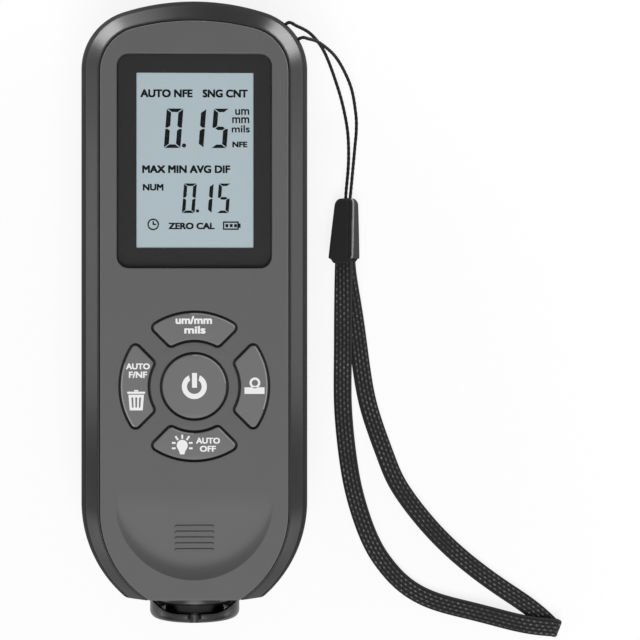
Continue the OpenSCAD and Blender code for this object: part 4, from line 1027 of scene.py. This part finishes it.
# Probe: turned parts about the Y axis
probe = {
    "tipY": -68.75, "z": 12.0, "ringR": 10.1, "notchR": 1.4, "notchH": 2.15, "columns": 288, "sharp": 32,
    # rim up the collar's sides: its height, and the angles from the face and the back over which it rises
    "lift": 2.1, "liftFrom": 24, "liftOver": 54,
    # height over the tip, radius, share of the lift
    "ring": ((0.25, 2.1, 0), (0.0, 2.3, 0), (0.0, 6.2, 0), (0.18, 6.45, 0), (0.18, 6.75, 0), (0.0, 7.0, 0),
             (0.0, 8.5, 0), (0.02, 8.77, 0), (0.09, 9.04, 0), (0.2, 9.29, 0), (0.35, 9.52, 0),
             (0.54, 9.71, 0), (0.77, 9.87, 0), (1.02, 9.99, 0), (1.29, 10.07, 0), (1.6, 10.1, 0),
             (1.95, 10.1, 1), (2.05, 10.07, 1), (2.1, 9.98, 1), (2.1, 9.57, 1), (2.05, 9.48, 1),
             (1.95, 9.45, 1), (1.8, 9.45, 0), (1.8, 6.7, 0), (2.2, 6.5, 0), (5.0, 6.5, 0), (20.2, 6.5, 0),
             (20.2, 7.7, 0), (22.0, 7.7, 0), (22.0, 4.0, 0), (4.0, 4.0, 0), (4.0, 2.1, 0)),
    "collar": ((3.75, 6.58, 0), (3.75, 8.5, 0), (3.81, 8.75, 0), (3.95, 8.98, 0), (4.17, 9.13, 0),
               (4.45, 9.2, 0), (5.3, 9.2, 0), (5.34, 9.14, 0), (5.46, 9.14, 0), (5.5, 9.2, 0), (6.0, 9.2, 0),
               (6.0, 8.3, 0), (8.1, 8.3, 0), (8.1, 9.4, 0), (33.3, 9.4, 0), (33.3, 8.0, 0), (20.1, 8.0, 0),
               (20.1, 6.58, 0)),
}


# Surface of revolution of a closed profile. The ring has a notch in its rim on the face side and the back
# side, where its radius ends at the near side of a small circle centred on the rim, and the rim's top rises
# by k k (3 - 2 k) towards the sides
def lathe(profile, isRing=False):
    h, rad, lifted = np.array(profile).T[:, :, None]
    a = np.linspace(0, 2 * np.pi, probe["columns"], endpoint=False)[None]
    rad, y = np.broadcast_to(rad, (len(h), a.size)), np.broadcast_to(h, (len(h), a.size))
    if isRing:
        off = np.arcsin(np.clip(np.abs(np.cos(a)), 0, 1))  # angle away from the face or the back
        across = probe["ringR"] * np.sin(off)
        near = probe["ringR"] * np.cos(off) - np.sqrt(np.maximum(probe["notchR"] ** 2 - across ** 2, 0))
        limit = np.where(across < probe["notchR"], near, np.inf)
        rad = np.where(h < probe["notchH"], np.minimum(rad, limit), rad)
        k = np.clip((np.degrees(off) - probe["liftFrom"]) / probe["liftOver"], 0, 1)
        y = y + lifted * probe["lift"] * k * k * (3 - 2 * k)
    points = np.stack([rad * np.cos(a), probe["tipY"] + y, probe["z"] + rad * np.sin(a)], -1)
    return np.concatenate([points, points[:1]]), gridFaces(len(h) + 1, a.size, True)


sleeveMesh = joinedMesh("probe_ring_sleeve", [lathe(probe["ring"], True)], probe["sharp"])
newPiece("probe_ring_sleeve", sleeveMesh, probeAcetal, "probe", ["probe_sleeve"])
collarMesh = joinedMesh("probe_guide_collar", [lathe(probe["collar"])], probe["sharp"])
newPiece("probe_guide_collar", collarMesh, probeAcetal, "case", ["probe_collar"])

# Return spring: a helix of round wire from the sleeve to the end cap, built as it stands at rest; on the real
# probe it is pressed together as the probe goes in
spring = {
    "low": 22.0, "high": 33.3, "r": 6.8, "wire": 0.8, "turns": 5, "steps": 60, "columns": 14, "travel": 1.55,
}
share = np.linspace(0, 1, spring["turns"] * spring["steps"] + 1)
turn = 2 * np.pi * spring["turns"] * share
out = np.column_stack([np.cos(turn), 0 * turn, -np.sin(turn)])
wire, springLength = spring["wire"], spring["high"] - spring["low"]
line = [0, probe["tipY"] + spring["low"] + wire / 2, probe["z"]] + spring["r"] * out
line[:, 1] += (springLength - wire) * share
theta = np.linspace(0, 2 * np.pi, spring["columns"] + 1)
springPiece = newPiece("probe_return_spring", tube(
    "probe_return_spring", line, out, np.broadcast_to([0, 1.0, 0], line.shape), wire / 2 * np.cos(theta[:-1]),
    wire / 2 * np.sin(theta[:-1]), theta, turn), contactSteel, "case", ["probe_spring"])
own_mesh(springPiece)
print("probe made")

# Finishes of the CAD nodes that stay
keptNodes = {
    "lcd_panel": displayGlass, "lcd_backlight": whiteAbs, "lcd_frame": whiteAbs,
    "lcd_connectors": stripSilicone, "main_board": boardMask, "board_chips": blackAbs, "buzzer": blackAbs,
    "key_switches": switchSteel, "board_screws": screwSteel, "case_screws": screwSteel,
    "battery_left": cellFilm, "battery_right": cellFilm, "battery_springs": contactSteel,
    "battery_plates": contactSteel, "probe_end_cap": blackAbs, "probe_tip": tipSteel, "probe_core": ferrite,
    "probe_coil": copperWire,
}
for name in keyNames:
    keptNodes[name + "_plunger"] = blackAbs
for name, finish in keptNodes.items():
    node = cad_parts[name]
    node.data.materials.clear()
    node.data.materials.append(finish)
print("CAD nodes dressed:", len(keptNodes))

# Words and marks are thin slabs: outline loops or letters, filled, with a wall down to the surface
def slab(loops, z, thick):
    parts = [filled(loops, z + thick), filled(loops, z)]
    return parts + [band(loop, [(0, z), (0, z + thick)]) for loop in loops]


# Letters stretched to fill a box of x0, x1, y0, y1. Weight fattens them in ems: copies pushed to four corners
# and one in the middle, each a hair lower than the last
def word(text, place, z, thick, weight):
    upright, hair = 0.8, 0.003
    curve = bpy.data.curves.new("word", "FONT")
    curve.body, curve.size, curve.extrude, curve.resolution_u = text, 1.0, 0.01, 4
    points, faces = meshData(curve, 0)
    push = weight * np.array([1, upright])
    low, high = points[:, :2].min(0) - push, points[:, :2].max(0) + push
    scale = np.array([place[1] - place[0], place[3] - place[2]]) / (high - low)
    copies = []
    for k, way in enumerate(((0, 0), (1, 1), (-1, 1), (1, -1), (-1, -1))):
        flat = np.array([place[0], place[2]]) + (points[:, :2] + push * way - low) * scale
        copies.append((np.column_stack([flat, np.where(points[:, 2] > 0, z + thick - hair * k, z)]), faces))
    return copies


# Straight stroke of a width between two points
def stroke(x0, y0, x1, y1, width):
    d = unit(np.array([x1 - x0, y1 - y0]))
    n = np.array([-d[1], d[0]]) * width / 2
    a, b = np.array([x0, y0]), np.array([x1, y1])
    return np.array([a - n, b - n, b + n, a + n])


# Seven-segment figure: its lit segments as loops in a box, sheared by the slant; the level bars are flatter
def figure(lit, place, stroke, slant):
    x0, x1, y0, y1 = place
    h, t, g, e = y1 - y0, stroke, stroke * display["cleft"], stroke * display["flatter"]
    w, m = x1 - x0 - slant * h, h / 2
    upper = np.array([[0, h - g], [t, h - e - g], [t, m + e / 2 + g], [t / 2, m + g], [0, m + g]])
    flipX, flipY = np.array([-1, 1]), np.array([1, -1])
    top = np.array([[g, h], [t + g, h - e], [w - t - g, h - e], [w - g, h]])
    shapes = {
        "a": top, "d": top * flipY + [0, h], "f": upper, "e": upper * flipY + [0, h],
        "b": upper * flipX + [w, 0], "c": upper * [-1, -1] + [w, h],
        "g": np.array([[t / 2 + g, m], [t + g, m - e / 2], [w - t - g, m - e / 2], [w - t / 2 - g, m],
                       [w - t - g, m + e / 2], [t + g, m + e / 2]]),
    }
    return [np.column_stack([x0 + s[:, 0] + slant * s[:, 1], y0 + s[:, 1]]) for s in (shapes[k] for k in lit)]


display = {
    "film": (-13.7, 13.9, 12.9, 53.2, 0.4), "filmLow": 24.601, "filmTop": 25.4, "filmEdge": 0.1,
    "clear": 0.002,
    "thick": 0.03, "bold": 0.045, "thin": 0.02, "slant": 0.075, "cleft": 0.14, "flatter": 0.74,
    "bold words": {
        "AUTO NFE": (-11.78, -0.39, 46.83, 48.59), "SNG CNT": (1.79, 11.65, 46.83, 48.59),
        "NFE": (8.28, 11.56, 35.98, 37.21), "MAX MIN AVG DIF": (-11.38, 7.82, 30.31, 32.02),
        "NUM": (-11.25, -6.74, 26.48, 27.93), "ZERO CAL": (-5.65, 4.43, 18.05, 19.48),
    },
    "thin words": {
        "um": (8.9, 11.99, 43.04, 44.34), "mm": (8.25, 11.99, 41.25, 42.54),
        "mils": (8.15, 12.09, 39.2, 40.8),
    },
    # lit segments, box and stroke of each figure
    "figures": (("abcdef", (-6.66, -2.41, 35.8, 44.4), 1.02), ("bc", (-0.55, 2.6, 35.8, 44.4), 1.08),
                ("acdfg", (3.6, 7.65, 35.8, 44.4), 1.02), ("abcdef", (-2.74, 0.52, 21.6, 28.05), 0.74),
                ("bc", (1.66, 4.22, 21.6, 28.05), 0.82), ("acdfg", (4.86, 7.95, 21.6, 28.05), 0.74)),
    "points": ((-2.26, 36.33, 0.45), (0.68, 22.06, 0.35)),
    "clock": (-8.98, 19.1, 1.27, 0.3), "hands": ((0, -0.1, 0, 0.75), (0.1, 0, 0.65, 0)),
    "battery": (6.23, 10.08, 17.94, 19.77, 0.3), "pole": (0.4, 0.45),
    "charge": (0.55, 0.95, 0.62, 0.58),  # first bar's place, pitch, width, distance from top and bottom
}
# Polariser film on the glass: a thin plate with softened edges
z, thick = display["filmTop"], display["thick"]
film = plate("display_polariser", roundRect(*display["film"]), display["filmLow"], z, display["filmEdge"])
newPiece("display_polariser", film, displayGlass, "case")
z += display["clear"]
marks = []
for weight in ("bold", "thin"):
    for text, place in display[weight + " words"].items():
        marks += word(text, place, z, thick, display[weight])
shapes = [[segment] for lit, place, width in display["figures"]
          for segment in figure(lit, place, width, display["slant"])]
shapes += [[circle(x, y, radius, 24)] for x, y, radius in display["points"]]
x, y, radius, width = display["clock"]
shapes.append([circle(x, y, radius, 48), circle(x, y, radius - width, 48)])
shapes += [[stroke(x + a, y + b, x + c, y + d, width)] for a, b, c, d in display["hands"]]
x0, x1, y0, y1, width = display["battery"]
pole, poleIn = display["pole"]
shapes.append([rect(x0, x1 - pole, y0, y1), rect(x0 + width, x1 - pole - width, y0 + width, y1 - width)])
shapes.append([rect(x1 - pole, x1, y0 + poleIn, y1 - poleIn)])
first, pitch, width, inside = display["charge"]
shapes += [[rect(x, x + width, y0 + inside, y1 - inside)] for x in x0 + first + pitch * np.arange(3)]
for loops in shapes:
    marks += slab(loops, z, thick)
segments = joinedMesh("display_segments", marks, crisp)
newPiece("display_segments", segments, segmentInk, "case")

legends = {
    "z": 27.5, "thick": 0.02, "bold": 0.036,
    "words": {
        "units": {"um/mm": (-4.07, 3.83, -2.62, -0.88), "mils": (-2.18, 2.44, -4.70, -3.05)},
        "mode": {"AUTO": (-14.84, -9.64, -12.46, -11.16), "F/NF": (-14.2, -10.25, -14.33, -12.92)},
        "light": {"AUTO": (0.37, 5.57, -28.6, -27.3), "OFF": (1.19, 4.67, -30.36, -29.05)},
    },
    # ring: centre, outer and inner radius; gap: half of it outside and inside, in degrees
    "powerRing": (0.0, -16.2, 2.71, 1.6), "powerGap": (26, 35), "powerBar": (-0.5, 0.58, -16.45, -13.25),
    "zeroRing": (13.15, -15.41, 1.17, 0.68), "zeroBar": (10.89, 15.24, -17.80, -16.38),
    "bin": [[-14.0, -21.35], [-11.2, -21.35], [-10.92, -17.95], [-14.28, -17.95]],
    "binSlots": ((-13.62, -0.7), (-12.77, 0), (-11.93, 0.7)), "slotY": (-20.75, -18.55),
    "slotLean": 0.16, "slotLow": (0, 0.34), "slotTop": (-0.04, 0.38),
    "binLid": (-14.52, -10.68, -17.75, -17.3), "binHandle": (-13.05, -12.15, -17.25, -16.93),
    "bulb": (-2.63, -28.95, 1.2, -30, 210, 40),
    "socket": [[-3.3, -30.2], [-3.1, -30.9], [-2.16, -30.9], [-1.96, -30.2]],
    "rays": ((-2.63, -27.5, -2.63, -26.63), (-3.53, -27.8, -4.1, -26.95), (-1.69, -27.8, -1.08, -26.95),
             (-4.07, -28.45, -4.88, -28.4), (-1.17, -28.45, -0.38, -28.4),
             (-4.07, -29.58, -4.88, -29.6), (-1.17, -29.58, -0.38, -29.6)), "rayWidth": 0.4,
}
# Power: a ring open at the top and a bar in the gap
x, y, outR, inR = legends["powerRing"]
outGap, inGap = legends["powerGap"]
openRing = np.vstack([arc(x, y, outR, 90 + outGap, 450 - outGap, 64),
                      arc(x, y, inR, 450 - inGap, 90 + inGap, 48)])
icons = {"units": [], "power": [[openRing], [rect(*legends["powerBar"])]]}
# Calibrate: a ring standing on a bar
x, y, outR, inR = legends["zeroRing"]
icons["zero"] = [[circle(x, y, outR, 48), circle(x, y, inR, 40)], [rect(*legends["zeroBar"])]]
# Erase: bin with three slots, lid and handle
low, high = legends["slotY"]
slots = [np.array([[x + a - legends["slotLean"] * k, low] for a in legends["slotLow"]]
                  + [[x + a, high] for a in legends["slotTop"][::-1]]) for x, k in legends["binSlots"]]
icons["mode"] = [[np.array(legends["bin"]), *slots]]
icons["mode"] += [[rect(*legends[bar])] for bar in ("binLid", "binHandle")]
# Light: bulb with its socket and seven rays
icons["light"] = [[np.vstack([arc(*legends["bulb"]), legends["socket"]])]]
icons["light"] += [[stroke(*ray, legends["rayWidth"])] for ray in legends["rays"]]
z, thick = legends["z"], legends["thick"]
for name in keyNames:
    parts = []
    for text, place in legends["words"].get(name, {}).items():
        parts += word(text, place, z, thick, legends["bold"])
    for loops in icons[name]:
        parts += slab(loops, z, thick)
    legend = joinedMesh(name + "_legend", parts, crisp)
    newPiece(name + "_legend", legend, legendInk, name + "_button")
print("display and legends made")

low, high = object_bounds()
